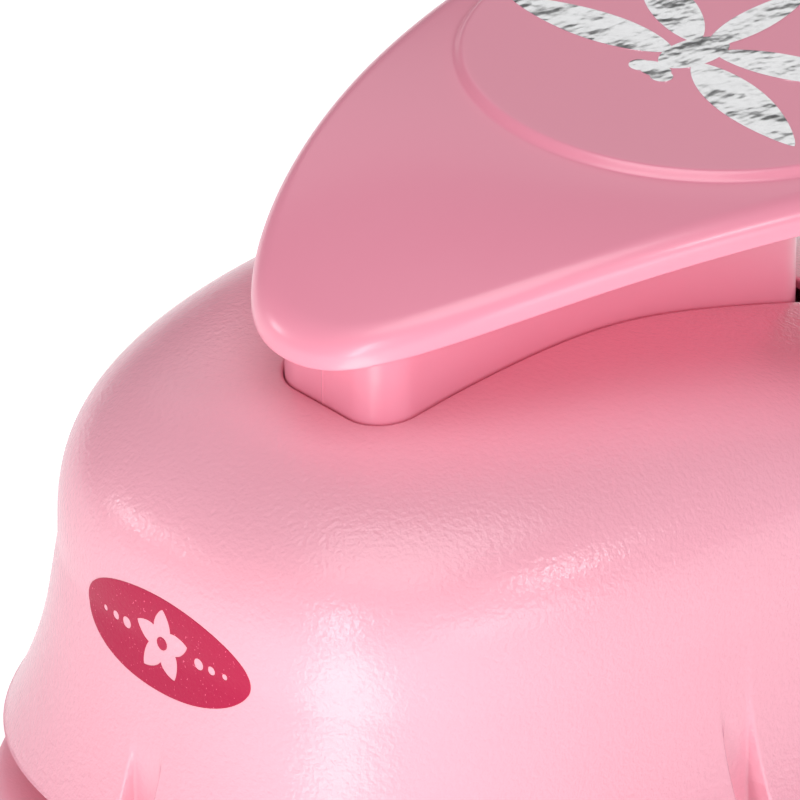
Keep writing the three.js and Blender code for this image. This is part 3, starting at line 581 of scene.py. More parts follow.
def plate_reach(angle):
    """Distance from the disc's centre to the plate's outline at each angle."""
    span = TIP_LENGTH + TAIL_START
    from_tip = span * np.linspace(0, 1, 500) ** 2
    width = np.sqrt(from_tip * (TIP_SPREAD - TIP_TAPER * from_tip) + TIP_BLUNT * (1 - np.exp(-from_tip)))
    turn = np.linspace(0, math.pi / 2, 300)[1:]
    x = np.concatenate([width, width[-1] * np.cos(turn)])
    y = np.concatenate([from_tip - TIP_LENGTH, TAIL_START + (TAIL_LENGTH - TAIL_START) * np.sin(turn)])
    reach = np.hypot(x, y)
    around = np.unwrap(np.arctan2(y, x))

    def from_tip_line(turned_by=0.0):
        return np.abs((angle + turned_by + math.pi / 2 + math.pi) % TURN - math.pi)

    def reach_at(folded):
        return np.interp(folded - math.pi / 2, around, reach)

    # the outline towards the tail is softened by averaging it over a range of angles
    shifts, soft_from, soft_over = np.linspace(-0.16, 0.16, 17), 1.35, 0.3
    soft = sum(reach_at(from_tip_line(shift)) / len(shifts) for shift in shifts)
    share = np.clip((from_tip_line() - soft_from) / soft_over, 0, 1)
    return reach_at(from_tip_line()) * (1 - share) + soft * share


def to_world(local):
    """Plate coordinates (about the disc's centre, before the tilt) to the frame."""
    cos, sin = math.cos(PLATE_TILT), math.sin(PLATE_TILT)
    x, y, z = local[:, 0], local[:, 1], local[:, 2]
    return np.column_stack([x, DISC_Y + y * cos - z * sin, DISC_Z + y * sin + z * cos])


def lever_plate_mesh():
    """The arched plate with its raised disc, rounded edge and underside."""
    count = 420
    angle = np.arange(count) * TURN / count - math.pi / 2
    direction = np.stack([np.cos(angle), np.sin(angle)], 1)
    reach = plate_reach(angle)

    rings = []

    def add(radius, z):
        rings.append(to_world(at_height(direction * np.reshape(radius, (-1, 1)), z)))

    for radius in (0.3, 4, 8, 12, 15, 17, 18.2, 18.7):
        add(radius, DISC_HEIGHT)
    rim_in, rim_out = DISC_RADIUS - DISC_RIM, DISC_RADIUS + DISC_RIM
    foot = plate_top(rim_out)
    for share in np.linspace(0, 1, 13):
        wave = share - math.sin(TURN * share) / TURN * 0.85
        add(rim_in + (rim_out - rim_in) * share, DISC_HEIGHT + (foot - DISC_HEIGHT) * wave)
    edge_in, edge_down, edge_power, heel = 2.1, 1.75, 0.9, 0.3
    flat_from = rim_out + 0.25
    for share in np.linspace(0, 1, 25)[1:]:
        radius = flat_from + (reach - edge_in - flat_from) * share
        add(radius, plate_top(radius))
    for turn in np.linspace(0, math.pi / 2, 17)[1:]:
        radius = reach - edge_in * (1 - math.sin(turn) ** edge_power)
        add(radius, plate_top(radius) - edge_down * (1 - max(0, math.cos(turn)) ** edge_power))
    for turn in np.array((0, 0.33, 0.67, 1)) * math.pi / 2:
        radius = reach - heel * (1 - math.cos(turn))
        add(radius, plate_top(radius) - PLATE_THICK + heel * (1 - math.sin(turn)))
    for share in np.linspace(1, 0.02, 16)[1:]:
        add(reach * share, plate_top(reach * share) - PLATE_THICK)
    return sealed(rings[::-1])


def plate_underside(x, y):
    """Frame height of the plate's underside over a plan point."""
    along = (y - DISC_Y) / math.cos(PLATE_TILT)
    return DISC_Z + along * math.sin(PLATE_TILT) + plate_top(np.hypot(x, along)) - PLATE_THICK


def neck_mesh():
    """Hollow neck under the plate, with a fine parting ridge down its front."""
    outline = rounded_rectangle(-NECK_HALF, NECK_HALF, NECK_FRONT, NECK_REAR, NECK_CORNER, 16)
    spacing, fillet, ridge_height, ridge_width = 0.6, 0.7, 0.07, 0.07
    dense = []
    for a, b in zip(outline, np.roll(outline, -1, axis=0)):
        count = max(1, round(np.hypot(*(b - a)) / spacing))
        dense.extend(a + (b - a) * share for share in np.arange(count) / count)
    dense = [p for p in dense if abs(p[0]) > 0.2 or p[1] > 0]
    front = [i for i, p in enumerate(dense) if p[0] > 0 and p[1] < NECK_FRONT + 1e-6]
    place = min(i for i in front if dense[i - 1][0] < 0)
    ridge = [(x, NECK_FRONT) for x in (-0.16, -0.1, -0.05, 0.0, 0.05, 0.1, 0.16)]
    dense = np.array(dense[:place] + ridge + dense[place:])
    along = np.roll(dense, -1, axis=0) - np.roll(dense, 1, axis=0)
    normal = np.stack([along[:, 1], -along[:, 0]], 1) / np.hypot(*along.T)[:, None]
    near = (np.abs(dense[:, 0]) < 0.3) & (dense[:, 1] < 0)
    lift = ridge_height * np.exp(-(dense[:, 0] / ridge_width) ** 2) * near
    ridged = dense + normal * lift[:, None]
    centre = np.array([0, (NECK_FRONT + NECK_REAR) / 2])
    half = np.array([NECK_HALF, (NECK_REAR - NECK_FRONT) / 2])
    inner = centre + (dense - centre) * (half - NECK_WALL) / half
    under = plate_underside(dense[:, 0], dense[:, 1])
    rings = [
        at_height(inner, plate_underside(inner[:, 0], inner[:, 1]) + 0.6),
        at_height(inner, NECK_BOTTOM),
        at_height(ridged, NECK_BOTTOM),
        at_height(ridged, NECK_BOTTOM + 0.2),
    ]
    for share in np.linspace(0, 1, 8)[1:]:
        rings.append(at_height(ridged, NECK_BOTTOM + (under - fillet - NECK_BOTTOM) * share))
    for turn in QUARTERS * math.pi / 2:
        plan = ridged + normal * fillet * (1 - math.cos(turn))
        rings.append(at_height(plan, under - fillet * (1 - math.sin(turn))))
    rings.append(at_height(ridged - normal * 0.3, under + 0.6))
    return lofted(rings, closed=True)


# ---------------------------------------------------------------- dragonfly and print

def placed(x, y, along, across, turn):
    """Points measured along and across a line that is turned from +X and starts at (x, y)."""
    cos, sin = math.cos(turn), math.sin(turn)
    return np.stack([x + along * cos - across * sin, y + along * sin + across * cos], 1)


def leaf(x, y, length, width, turn, steps=40):
    """A slender wing from its root at (x, y), widest past its middle, turned from +X."""
    share = np.linspace(0, 1, steps)
    half = width / 2 * np.sin(math.pi * share ** 0.85) ** 0.75
    along = np.concatenate([share, share[-2:0:-1]]) * length
    return placed(x, y, along, np.concatenate([-half, half[-2:0:-1]]), turn)


def oval(x, y, rx, ry, steps=40):
    angles = np.arange(steps) * TURN / steps
    return placed(x, y, rx * np.cos(angles), ry * np.sin(angles), 0)


WINGS = ((1.2, -2.1, 15.2, 4.5, -0.235), (1, 0.3, 13.5, 3.9, 0.45))


def dragonfly(scale=1.0, grow=0.0):
    """Outlines of the dragonfly, head towards -Y: thorax, head, tail, eyes and two pairs of wings."""
    loops = [oval(0, -1, 1.9, 3.4), oval(0, -5.2, 1.5, 1.1), leaf(0, 0.5, 13, 3, 1.7)]
    for side in (-1, 1):
        loops.append(oval(side * 1.2, -5.6, 0.9, 0.9))
        for root_x, root_y, length, width, turn in WINGS:
            heading = turn if side > 0 else math.pi - turn
            loops.append(leaf(side * root_x, root_y, length, width, heading))
    grown = []
    for loop in loops:
        spoke = loop - loop.mean(0)
        size = np.maximum(np.hypot(*spoke.T), 1e-9)[:, None]
        grown.append(loop * scale + spoke / size * grow)
    return grown


# ---------------------------------------------------------------- materials

class Nodes:
    """A material's node tree, with short ways to add and join nodes."""

    def __init__(self, name):
        self.material = bpy.data.materials.new(name)
        self.material.use_nodes = True
        self.tree = self.material.node_tree
        self.shader = self.tree.nodes["Principled BSDF"]

    def set(self, **values):
        for name, value in values.items():
            self.shader.inputs[name.replace("_", " ")].default_value = value
        return self

    def node(self, kind, inputs=(), **settings):
        made = self.tree.nodes.new(kind)
        for name, value in settings.items():
            setattr(made, name, value)
        for name, value in dict(inputs).items():
            if isinstance(value, bpy.types.NodeSocket):
                self.tree.links.new(value, made.inputs[name])
            else:
                made.inputs[name].default_value = value
        return made

    def texture(self, kind, output, size_mm, stretch, **inputs):
        """A texture of cells of a size in object coordinates."""
        where = self.node("ShaderNodeTexCoord").outputs["Object"]
        place = self.node("ShaderNodeMapping", {"Vector": where, "Scale": stretch}).outputs["Vector"]
        inputs = {"Vector": place, "Scale": 1 / (size_mm * MM), **inputs}
        return self.node(kind, inputs).outputs[output]

    def noise(self, size_mm, detail=2.0, roughness=0.5, stretch=(1, 1, 1)):
        inputs = {"Detail": detail, "Roughness": roughness}
        return self.texture("ShaderNodeTexNoise", "Fac", size_mm, stretch, **inputs)

    def cells(self, size_mm):
        return self.texture("ShaderNodeTexVoronoi", "Distance", size_mm, (1, 1, 1))

    def ramp(self, value, low, high, low_at=0.0, high_at=1.0):
        """A value mapped straight from one range to another."""
        inputs = {"Value": value, "From Min": low_at, "From Max": high_at, "To Min": low, "To Max": high}
        return self.node("ShaderNodeMapRange", inputs).outputs["Result"]

    def mix(self, value, first, second):
        inputs = {0: value, 6: (*first, 1), 7: (*second, 1)}
        return self.node("ShaderNodeMix", inputs, data_type="RGBA").outputs[2]

    def finish(self, colour, roughness, *layers):
        """Joins colour and roughness, then bumps in turn from (height socket, depth in mm, strength)."""
        links, inputs = self.tree.links, self.shader.inputs
        links.new(colour, inputs["Base Color"])
        if roughness:
            links.new(roughness, inputs["Roughness"])
        normal = None
        for height, depth_mm, strength in layers:
            settings = {"Height": height, "Distance": depth_mm * MM, "Strength": strength}
            if normal is not None:
                settings["Normal"] = normal
            normal = self.node("ShaderNodeBump", settings).outputs["Normal"]
            links.new(normal, inputs["Normal"])
        return self.material


PINK = (0.93, 0.43, 0.535)
PINK_DEEP = (0.93, 0.41, 0.515)
LEVER_PINK = (0.94, 0.325, 0.45)
LEVER_DEEP = (0.94, 0.31, 0.435)
RASPBERRY = (0.46, 0.001, 0.056)


def housing_plastic():
    """Pale pink moulding with a fine spark-eroded grain whose tips glint."""
    m = Nodes("housing_plastic").set(IOR=1.5, Specular_IOR_Level=0.5)
    grain = m.noise(0.42, 2.0, 0.55)
    tips = m.cells(0.5)
    cloud = m.noise(9.0, 2.0)
    colour = m.mix(cloud, PINK_DEEP, PINK)
    return m.finish(colour, m.ramp(grain, 0.26, 0.14, 0.3, 0.7), (grain, 0.07, 0.9), (tips, 0.025, 0.5))


def lever_plastic():
    """The same plastic in a deeper pink, polished, with faint flow marks."""
    m = Nodes("lever_plastic").set(IOR=1.5, Specular_IOR_Level=0.7, Coat_Weight=0.35, Coat_Roughness=0.16)
    flow = m.noise(6.0, 3.0, 0.55, (1, 0.35, 1))
    fine = m.noise(0.5, 2.0)
    colour = m.mix(flow, LEVER_DEEP, LEVER_PINK)
    return m.finish(colour, m.ramp(flow, 0.3, 0.38), (fine, 0.004, 0.25))


def base_plastic():
    """The lower jaw: the housing's plastic with a coarser grain and scuffs underneath."""
    m = Nodes("base_plastic").set(IOR=1.5)
    grain = m.noise(0.32, 2.0, 0.6)
    scuffs = m.noise(2.2, 4.0, 0.7, (1, 0.12, 1))
    colour = m.mix(m.ramp(scuffs, 0, 1, 0.35, 0.75), PINK_DEEP, PINK)
    return m.finish(colour, m.ramp(scuffs, 0.42, 0.6, 0.3, 0.7), (grain, 0.04, 0.8))


def print_ink():
    """Raspberry ink over the grain, with pale specks of painted highlight standing in for glints."""
    m = Nodes("print_ink").set(Specular_IOR_Level=0.35)
    grain = m.noise(0.26, 2.0, 0.6)
    # painted highlight: pale specks mixed into the ink colour to look like glints
    painted_glints = m.ramp(m.noise(0.2, 1.0), 0, 1, 0.7, 0.76)
    colour = m.mix(painted_glints, RASPBERRY, (0.8, 0.12, 0.24))
    return m.finish(colour, m.ramp(grain, 0.46, 0.34, 0.3, 0.7), (grain, 0.03, 0.8))


def stamped_foil():
    """Silver hot-stamped foil: mirror bright, crinkled where the stamp pressed it, with painted shade in the
    crinkles' hollows.
    """
    m = Nodes("stamped_foil").set(Metallic=1.0)
    crinkle = m.noise(3.8, 3.0, 0.5, (1, 0.6, 1))
    pits = m.noise(0.5, 2.0, 0.6)
    # painted shade: the silver is a little darker where the crinkle is low
    colour = m.mix(crinkle, (0.86, 0.86, 0.87), (0.93, 0.93, 0.94))
    return m.finish(colour, m.ramp(pits, 0.12, 0.2, 0.3, 0.7), (crinkle, 0.5, 0.8), (pits, 0.01, 0.5))


def ground_steel(name, shade, roughness, line_mm=0.06):
    """Steel with fine grinding lines along Y and a little tarnish."""
    m = Nodes(name).set(Metallic=1.0, Anisotropic=0.4)
    lines = m.noise(line_mm, 2.0, 0.6, (1, 0.02, 1))
    tarnish = m.noise(5.0, 4.0, 0.6)
    pale = tuple(min(1.0, c * 1.15) for c in shade)
    colour = m.mix(tarnish, shade, pale)
    return m.finish(colour, m.ramp(lines, roughness, roughness + 0.18, 0.3, 0.7), (lines, 0.004, 0.4))


def cast_zinc():
    """Die-cast block: grey, slightly pitted and dull."""
    m = Nodes("cast_zinc").set(Metallic=1.0)
    pits = m.noise(0.5, 4.0, 0.7)
    colour = m.mix(m.noise(6.0, 3.0), (0.36, 0.37, 0.38), (0.46, 0.47, 0.48))
    return m.finish(colour, m.ramp(pits, 0.45, 0.65, 0.3, 0.7), (pits, 0.03, 0.5))


HOUSING_PLASTIC = housing_plastic()
LEVER_PLASTIC = lever_plastic()
BASE_PLASTIC = base_plastic()
PRINT_INK = print_ink()
FOIL = stamped_foil()
TOOL_STEEL = ground_steel("tool_steel", (0.4, 0.41, 0.42), 0.24)
FRAME_STEEL = ground_steel("frame_steel", (0.55, 0.56, 0.57), 0.3)
SPRING_STEEL = ground_steel("spring_steel", (0.58, 0.59, 0.6), 0.2, 0.12)
SCREW_STEEL = ground_steel("screw_steel", (0.6, 0.61, 0.63), 0.26, 0.1)
ZINC = cast_zinc()


# ---------------------------------------------------------------- pieces: housing

def make_shell():
    """The moulded housing with its screw posts: radius, bore radius, foot, top and top of the bore."""
    guide_post, base_post = (2.9, 1.4, 11.4, 20, 19), (3.6, 1.7, REAR_BOTTOM, 20, 17)
    posts = [boss(x, y, *guide_post) for _, x, y, *_ in family("guide_screw", CORNERS)]
    posts += [boss(x, y, *base_post) for _, x, y, *_ in family("base_screw", SIDES)]
    mesh_object("housing_shell", merged([housing_mesh(), *posts]), HOUSING_PLASTIC, "housing",
                "body_shell", "housing", sharp=38)


def front_wall(points, lift):
    """Points on the front wall at flat (x, height above the print's middle), pushed out by a lift."""
    low, high = box_mm("front_print")
    x = points[:, 0]
    z = points[:, 1] + (low[2] + high[2]) / 2
    below = solve_angle(x, np.minimum(z, WALL_TOP), 0, 1.25 * math.pi, 1.75 * math.pi)
    y = wall_xy(below, np.minimum(z, WALL_TOP))[1]
    on_dome = halved(lambda middle: dome_z(x, middle) < z, y, y + 12)
    y = np.where(z > WALL_TOP, on_dome, y)
    return np.column_stack([x, y - lift, z])


def make_print():
    """Raspberry oval with a knocked-out five-petal flower between two sprigs of dots."""
    low, high = box_mm("front_print")
    rx, ry = (high[0] - low[0]) / 2, (high[2] - low[2]) / 2
    outline = oval(0, 0, rx, ry, steps=120)
    petals = [leaf(0, 0, 3.0, 1.9, TURN * (0.25 + k / 5), 24) for k in range(5)]
    dots = [circle(side * (4.1 + 1.35 * k), 0, 0.5 - 0.12 * k, 20) for side in (-1, 1) for k in range(3)]
    heart = circle(0, 0, 0.55, 20)
    fill = grid(-rx, rx, -ry, ry, 0.5)
    fill = fill[inside(fill, outline * 0.97)]
    parts = [film(*region([outline], petals + dots, fill), front_wall, 0.04)]
    parts.append(film(*region([heart]), front_wall, 0.05))
    mesh_object("front_print_film", merged(parts), PRINT_INK, "housing", "front_print", "print")


def base_ring(inset, z, count=240):
    low, high = box_mm("base")
    angle = np.arange(count) * TURN / count
    dx, dy = plan_direction(angle)
    length = np.where(dy < 0, CENTRE_Y - low[1], high[1] - CENTRE_Y) - inset
    return np.column_stack([(high[0] - inset) * dx, CENTRE_Y + length * dy, np.full(count, z)])


def combined(piece, *steps, sharp=35):
    """Joins solids to a piece or cuts them out of it, in order, with exact booleans."""
    tools = []
    for operation, part in steps:
        modifier = piece.modifiers.new("step", "BOOLEAN")
        modifier.operation = operation
        modifier.solver = "EXACT"
        modifier.object = linked("step", mesh_from("step", part))
        tools.append(modifier.object)
    depsgraph = bpy.context.evaluated_depsgraph_get()
    done = bpy.data.meshes.new_from_object(piece.evaluated_get(depsgraph))
    piece.modifiers.clear()
    piece.data = done
    for tool in tools:
        bpy.data.objects.remove(tool)
    smoothed(done, sharp)


SIDES = ("left", "right")
ENDS = ("front", "rear")
CORNERS = ("front_left", "front_right", "rear_left", "rear_right")


def family(prefix, names):
    """Node name, middle in plan, radius, lowest and highest z of each node in a family."""
    for name in names:
        node = f"{prefix}_{name}"
        low, high = box_mm(node)
        x, y, _ = (low + high) / 2
        yield node, x, y, (high[0] - low[0]) / 2, low[2], high[2]


def node_outline(node, radius, steps=4, grow=0.0):
    """Rounded outline of a CAD node's box in plan, grown by a clearance."""
    low, high = box_mm(node)
    return rounded_rectangle(low[0] - grow, high[0] + grow, low[1] - grow, high[1] + grow, radius, steps)


def make_base():
    """Lower jaw: flat tray with rounded edges, a ramp up to the die plate, a chip outlet and screw wells."""
    top, platform, edge = 5.0, 8.0, 1.2
    turns = np.linspace(0, math.pi / 2, 7)
    rings = [base_ring(edge * (1 - math.sin(a)), edge * (1 - math.cos(a))) for a in turns]
    rings += [base_ring(edge * (1 - math.cos(a)), top - edge * (1 - math.sin(a))) for a in turns]
    piece = mesh_object("base_tray", sealed(rings), BASE_PLASTIC, "housing", "base", "housing")
    ramp = ((6, 2), (6, top), (6.3, top + 0.35), (8.3, platform - 0.25), (8.6, platform))
    low, high = box_mm("die_plate")
    above, behind = platform + 4, 80
    cuts = [
        prism(rounded_rectangle(-60, 60, high[1] + SEAT_GAP - 0.1, behind, 1, 2), top, above),
        prism(node_outline("die_plate", 0.3, 4, SEAT_GAP), low[2], above),
        prism(rounded_rectangle(-CHIP_HALF, CHIP_HALF, CHIP_FRONT, CHIP_REAR, 2, 8), -1, above),
    ]
    for prefix, names, hole, well in (("die_screw", CORNERS, 1.4, 2.7), ("base_screw", SIDES, 1.8, 3.2)):
        for _, x, y, *_ in family(prefix, names):
            cuts.append(prism(circle(x, y, hole), -1, platform))
            cuts.append(prism(circle(x, y, well), -1, 2.2))
    union = ("UNION", sealed([base_ring(inset, z) for inset, z in ramp]))
    combined(piece, union, *(("DIFFERENCE", cut) for cut in cuts))
    bevel = piece.modifiers.new("edges", "BEVEL")
    bevel.width = 0.22 * MM
    bevel.segments = 2
    bevel.limit_method = "ANGLE"
    bevel.angle_limit = math.radians(50)


# ---------------------------------------------------------------- pieces: lever

def make_lever():
    """Plate and neck as one moulding, with the pivot hole, two screw posts and room for the holder."""
    piece = mesh_object("lever_shell", lever_plate_mesh(), LEVER_PLASTIC, "lever_assembly", "lever",
                        "lever")
    steps = [("UNION", neck_mesh())]
    post_foot, post_radius, bore_radius, bore_top = 45.75, 2.6, 1.25, 51.4
    for _, x, y, *_ in family("core_screw", ENDS):
        under = float(plate_underside(np.array([x]), np.array([y]))[0])
        steps.append(("UNION", prism(circle(x, y, post_radius), post_foot, under + 0.8)))
        steps.append(("DIFFERENCE", prism(circle(x, y, bore_radius), post_foot - 1, bore_top)))
    relief = rounded_rectangle(-20, 20, RELIEF_FRONT, RELIEF_REAR, 1, 4)
    steps.append(("DIFFERENCE", prism(relief, NECK_BOTTOM - 1, RELIEF_TOP)))
    steps.append(("DIFFERENCE", on_pivot(prism(circle(0, 0, PIVOT_HOLE), -20, 20))))
    combined(piece, *steps, sharp=40)


def make_foil():
    """The stamped dragonfly on the disc, following its tilt."""
    loops = dragonfly()
    points, triangles = region(loops, (), grid(-17, 17, -8, 14, 0.6))

    def place(flat, lift):
        return to_world(at_height(flat + [FOIL_X, 0], DISC_HEIGHT + lift))

    mesh_object("motif_foil_stamp", film(points, triangles, place, 0.05), FOIL, "lever_assembly",
                "motif_foil", "foil")


# ---------------------------------------------------------------- pieces: punch, die and frame

def motif(grow=0.0):
    """Outlines of the die's dragonfly, in the frame's plan."""
    return [loop + [0, DIE_Y] for loop in dragonfly(DIE_SCALE, grow)]


def holes_at(prefix, names, radius):
    return [circle(x, y, radius) for _, x, y, *_ in family(prefix, names)]


def sideways(part):
    """A flat part drawn in (Y, Z) and given its thickness along X."""
    return axis_swapped(part, [2, 0, 1])


def on_pivot(part):
    """A part drawn about the origin, laid along X on the pivot's axis."""
    return moved(sideways(part), (0, PIVOT_Y, PIVOT_Z))


def make_plates():
    """Die plate, guide plate and the spacer that stops the paper, with their holes."""
    rivets = holes_at("frame_rivet", SIDES, 1.62)
    die = motif(0.12) + rivets + holes_at("die_screw", CORNERS, 1.3)
    guide = motif(0.12) + rivets + holes_at("bracket_rivet", CORNERS, 1.2)
    guide += holes_at("guide_screw", CORNERS, 1.35)
    sunk = holes_at("guide_screw", CORNERS, 2.3)
    plates = (
        ("die_plate", "ground", 0.5, 5, die, (), TOOL_STEEL, "tool_steel"),
        ("guide_plate", "ground", 0.8, 5, guide, sunk, FRAME_STEEL, "frame_steel"),
        ("paper_stop", "bar", 0.3, 4, rivets, (), FRAME_STEEL, "frame_steel"),
    )
    for node, finish, radius, steps, holes, sinks, material, slot in plates:
        outline = node_outline(node, radius, steps)
        z0, z1 = box_mm(node)[0][2], box_mm(node)[1][2]
        step = z0 + SINK_DEPTH if sinks else z0
        parts = [plate([outline], holes, step, z1, 0.08)]
        if sinks:
            parts.insert(0, plate([outline], [*holes, *sinks], z0, step, 0.08))
        mesh_object(f"{node}_{finish}", merged(parts), material, "housing", node, slot)


def make_punch():
    """Ground dragonfly punch under its die-cast holder."""
    low, high = box_mm("punch_die")
    tapped = 16.0
    screws = holes_at("holder_screw", SIDES, 0.95)
    body = plate(motif(), (), low[2], tapped, 0.03)
    head = plate(motif(), screws, tapped, high[2], 0.03)
    mesh_object("punch_die_ground", merged([body, head]), TOOL_STEEL, "punch_assembly", "punch_die",
                "tool_steel")
    low, high = box_mm("punch_holder")
    nose, shoulder = 7.4, -12.6
    wide = rounded_rectangle(low[0], high[0], shoulder, high[1], 1.2, 8)
    narrow = rounded_rectangle(-nose, nose, low[1], shoulder + 4, 1.2, 8)
    sink = high[2] - 2
    lower = plate([wide, narrow], holes_at("holder_screw", SIDES, 1.2), low[2], sink, 0.3)
    upper = plate([wide, narrow], holes_at("holder_screw", SIDES, 2.3), sink, high[2], 0.3)
    mesh_object("punch_holder_casting", merged([lower, upper]), ZINC, "punch_assembly", "punch_holder",
                "holder_zinc")


def make_lever_core():
    """Steel channel in the lever: two cheeks with round cams and the web between them."""
    low, high = box_mm("lever_core")
    inner, ear, cam, web = 2.6, 3.2, 3.0, 1.5
    cam_z = low[2] + cam
    rear, top = high[1], high[2]
    side = np.concatenate([
        [(PIVOT_Y + 1, PIVOT_Z - ear + 0.2), (DIE_Y - cam, cam_z + 0.3)],
        arc(DIE_Y, cam_z, cam, 0.5, 1.0),
        [(rear, top - web - 4)],
        arc(rear - 0.8, top - 0.8, 0.8, 0, 0.25, 8),
        arc(PIVOT_Y + 6, top - 2, 2, 0.25, 0.36, 8),
        [(PIVOT_Y - ear, PIVOT_Z + 1)],
        arc(PIVOT_Y, PIVOT_Z, ear, 0.5, 0.75),
    ])
    hole = circle(PIVOT_Y, PIVOT_Z, PIVOT_HOLE)
    parts = [sideways(plate([side], [hole], x0, x0 + high[0] - inner, 0.12)) for x0 in (low[0], inner)]
    bridge = rounded_rectangle(-inner - 0.4, inner + 0.4, PIVOT_Y + 7, rear - 0.4, 0.3, 4)
    parts.append(plate([bridge], holes_at("core_screw", ENDS, 1.35), top - web, top, 0.1))
    mesh_object("lever_core_channel", merged(parts), FRAME_STEEL, "lever_assembly", "lever_core",
                "frame_steel")


def make_bracket():
    """Folded sheet bracket: two ears with riveted feet and a front web."""
    low, high = box_mm("pivot_bracket")
    inner, outer, sheet = 8.25, 9.75, 1.5
    web_top, ear_radius = 27.5, 4.0
    front, rear, floor = low[1], high[1], low[2]
    ear = np.concatenate([
        [(front, floor), (rear, floor), (rear, web_top + 1), (PIVOT_Y + ear_radius, PIVOT_Z - 1)],
        arc(PIVOT_Y, PIVOT_Z, ear_radius, 0, 0.5, 40),
        [(front, web_top)],
    ])
    hole = circle(PIVOT_Y, PIVOT_Z, PIVOT_HOLE)
    parts = [sideways(plate([ear], [hole], x0, x0 + sheet, 0.15)) for x0 in (inner, -outer)]
    edge = inner + 0.1
    face = -front - 0.12
    wall = np.array([(-edge, floor + 0.05), (edge, floor + 0.05), (edge, web_top - 1), (-edge, web_top - 1)])
    web = axis_swapped(plate([wall], (), face - sheet, face, 0.15), [0, 2, 1])
    parts.append((web[0] * [1, -1, 1], web[1]))
    rivets = holes_at("bracket_rivet", CORNERS, 1.2)
    for x0, x1 in ((inner, high[0]), (low[0], -inner)):
        foot = rounded_rectangle(x0, x1, front + 0.05, rear - 0.05, 0.4, 4)
        parts.append(plate([foot], rivets, floor, floor + sheet, 0.15))
    mesh_object("pivot_bracket_folded", merged(parts), FRAME_STEEL, "housing", "pivot_bracket",
                "frame_steel")


def make_pivot():
    """Pivot pin with chamfered, grooved ends, and the open rings that hold it."""
    high = box_mm("lever_pivot_pin")[1]
    half, radius = high[0], high[2] - PIVOT_Z
    groove, chamfer, play = radius - 0.25, 0.3, 0.05
    clips = {name: [corner[0] for corner in box_mm(f"pin_clip_{name}")] for name in SIDES}
    start, stop = clips["right"][0] - play, clips["right"][1] + play
    end = [(radius, start), (groove, start), (groove, stop), (radius, stop), (radius, half - chamfer),
           (radius - chamfer, half)]
    profile = [(r, -x) for r, x in end[::-1]] + end
    mesh_object("pivot_pin_turned", on_pivot(turned(profile, 48)), TOOL_STEEL, "housing", "lever_pivot_pin",
                "tool_steel")
    opening, eye, eye_turn = 0.6 / TURN, 2.31, 0.85
    outside, inside_edge = arc(0, 0, 3, opening, 1 - opening, 56), arc(0, 0, 1.62, 1 - opening, opening, 40)
    ring = np.concatenate([outside, inside_edge])
    eyes = [circle(eye * math.cos(a), eye * math.sin(a), 0.35, 16) for a in (eye_turn, -eye_turn)]
    for name, (x0, x1) in clips.items():
        mesh_object(f"pin_clip_ring_{name}", on_pivot(plate([ring], eyes, x0, x1, 0.06)), SPRING_STEEL,
                    "housing", f"pin_clip_{name}", "spring_steel")


def screw(head_radius, head_height, shank_radius, length):
    """A screw pointing up: domed head with a cross recess below, rolled thread, cone point."""
    dome, depth = 0.25 * head_height, 0.62 * head_height
    half_wide, half_long = 0.13 * head_radius, 0.58 * head_radius
    arm = [(half_long, -half_wide), (half_long, half_wide), (half_wide, half_wide)]
    quarter_turns = ((1, 0), (0, 1), (-1, 0), (0, -1))
    cross = np.array([(x * c - y * s, x * s + y * c) for c, s in quarter_turns for x, y in arm])

    def domed(flat):
        return at_height(flat, dome * (np.hypot(*flat.T) / head_radius) ** 2)

    inner = [circle(0, 0, head_radius * share, 32) for share in (0.72, 0.86, 0.94)]
    points, triangles = region([circle(0, 0, head_radius, 40)], [cross], np.concatenate(inner))
    face = domed(points), [list(t[::-1]) for t in triangles]
    recess = lofted([at_height(cross * 0.5, depth), domed(cross)], caps=(True, False))
    edge = 0.1
    profile = ((head_radius, dome), (head_radius, head_height - edge), (head_radius - edge, head_height),
               (0.02, head_height))
    skirt = lofted([ring_at(0, 0, r, z, 40) for r, z in profile])
    pitch, cut, point, around = 0.8, 0.2, 1.2, 28
    root = head_height - 0.05
    angles = np.arange(around) * TURN / around
    rings = []
    for z in np.arange(root, length - point, pitch / 7):
        wave = np.abs(2 * ((z / pitch - angles / TURN) % 1) - 1)
        radius = shank_radius - cut * (1 - wave) * min(1, (z - root) / 0.8)
        rings.append(at_height(np.stack([radius * np.cos(angles), radius * np.sin(angles)], 1), z))
    rings.append(ring_at(0, 0, shank_radius * 0.3, length, around))
    return merged([face, recess, skirt, sealed(rings)])


def make_screws():
    """Every screw at its node's place, sized to the node's box; the holder's own point down."""
    kinds = (
        ("base_screw", SIDES, "housing", 1.6, 1.5),
        ("die_screw", CORNERS, "housing", 1.5, 1.15),
        ("guide_screw", CORNERS, "housing", 0.9, 1.15),
        ("core_screw", ENDS, "lever_assembly", 1.3, 1.1),
        ("holder_screw", SIDES, "punch_assembly", 1.5, 0.8),
    )
    for prefix, names, body, head_height, shank_radius in kinds:
        for node, x, y, head_radius, z0, z1 in family(prefix, names):
            vertices, faces = screw(head_radius, head_height, shank_radius, z1 - z0)
            vertices = np.asarray(vertices)
            if prefix == "holder_screw":
                vertices, z0 = vertices * [1, -1, -1], z1
            part = vertices + [x, y, z0], faces
            mesh_object(f"{node}_cross", part, SCREW_STEEL, body, node, "screws")


def rivet(shank_radius, head_radius, head_height, length):
    """A rivet pointing up with a domed head on top and a clinched foot."""
    shoulder, rim = length - head_height, 0.1
    profile = [(shank_radius - 0.25, 0), (shank_radius - 0.05, 0.12), (shank_radius, 0.35),
               (shank_radius, shoulder), (head_radius - rim, shoulder), (head_radius, shoulder + rim)]
    for turn in np.linspace(0.1, 0.97, 9) * math.pi / 2:
        profile.append((head_radius * math.cos(turn), shoulder + rim + (head_height - rim) * math.sin(turn)))
    return turned(profile, 36)


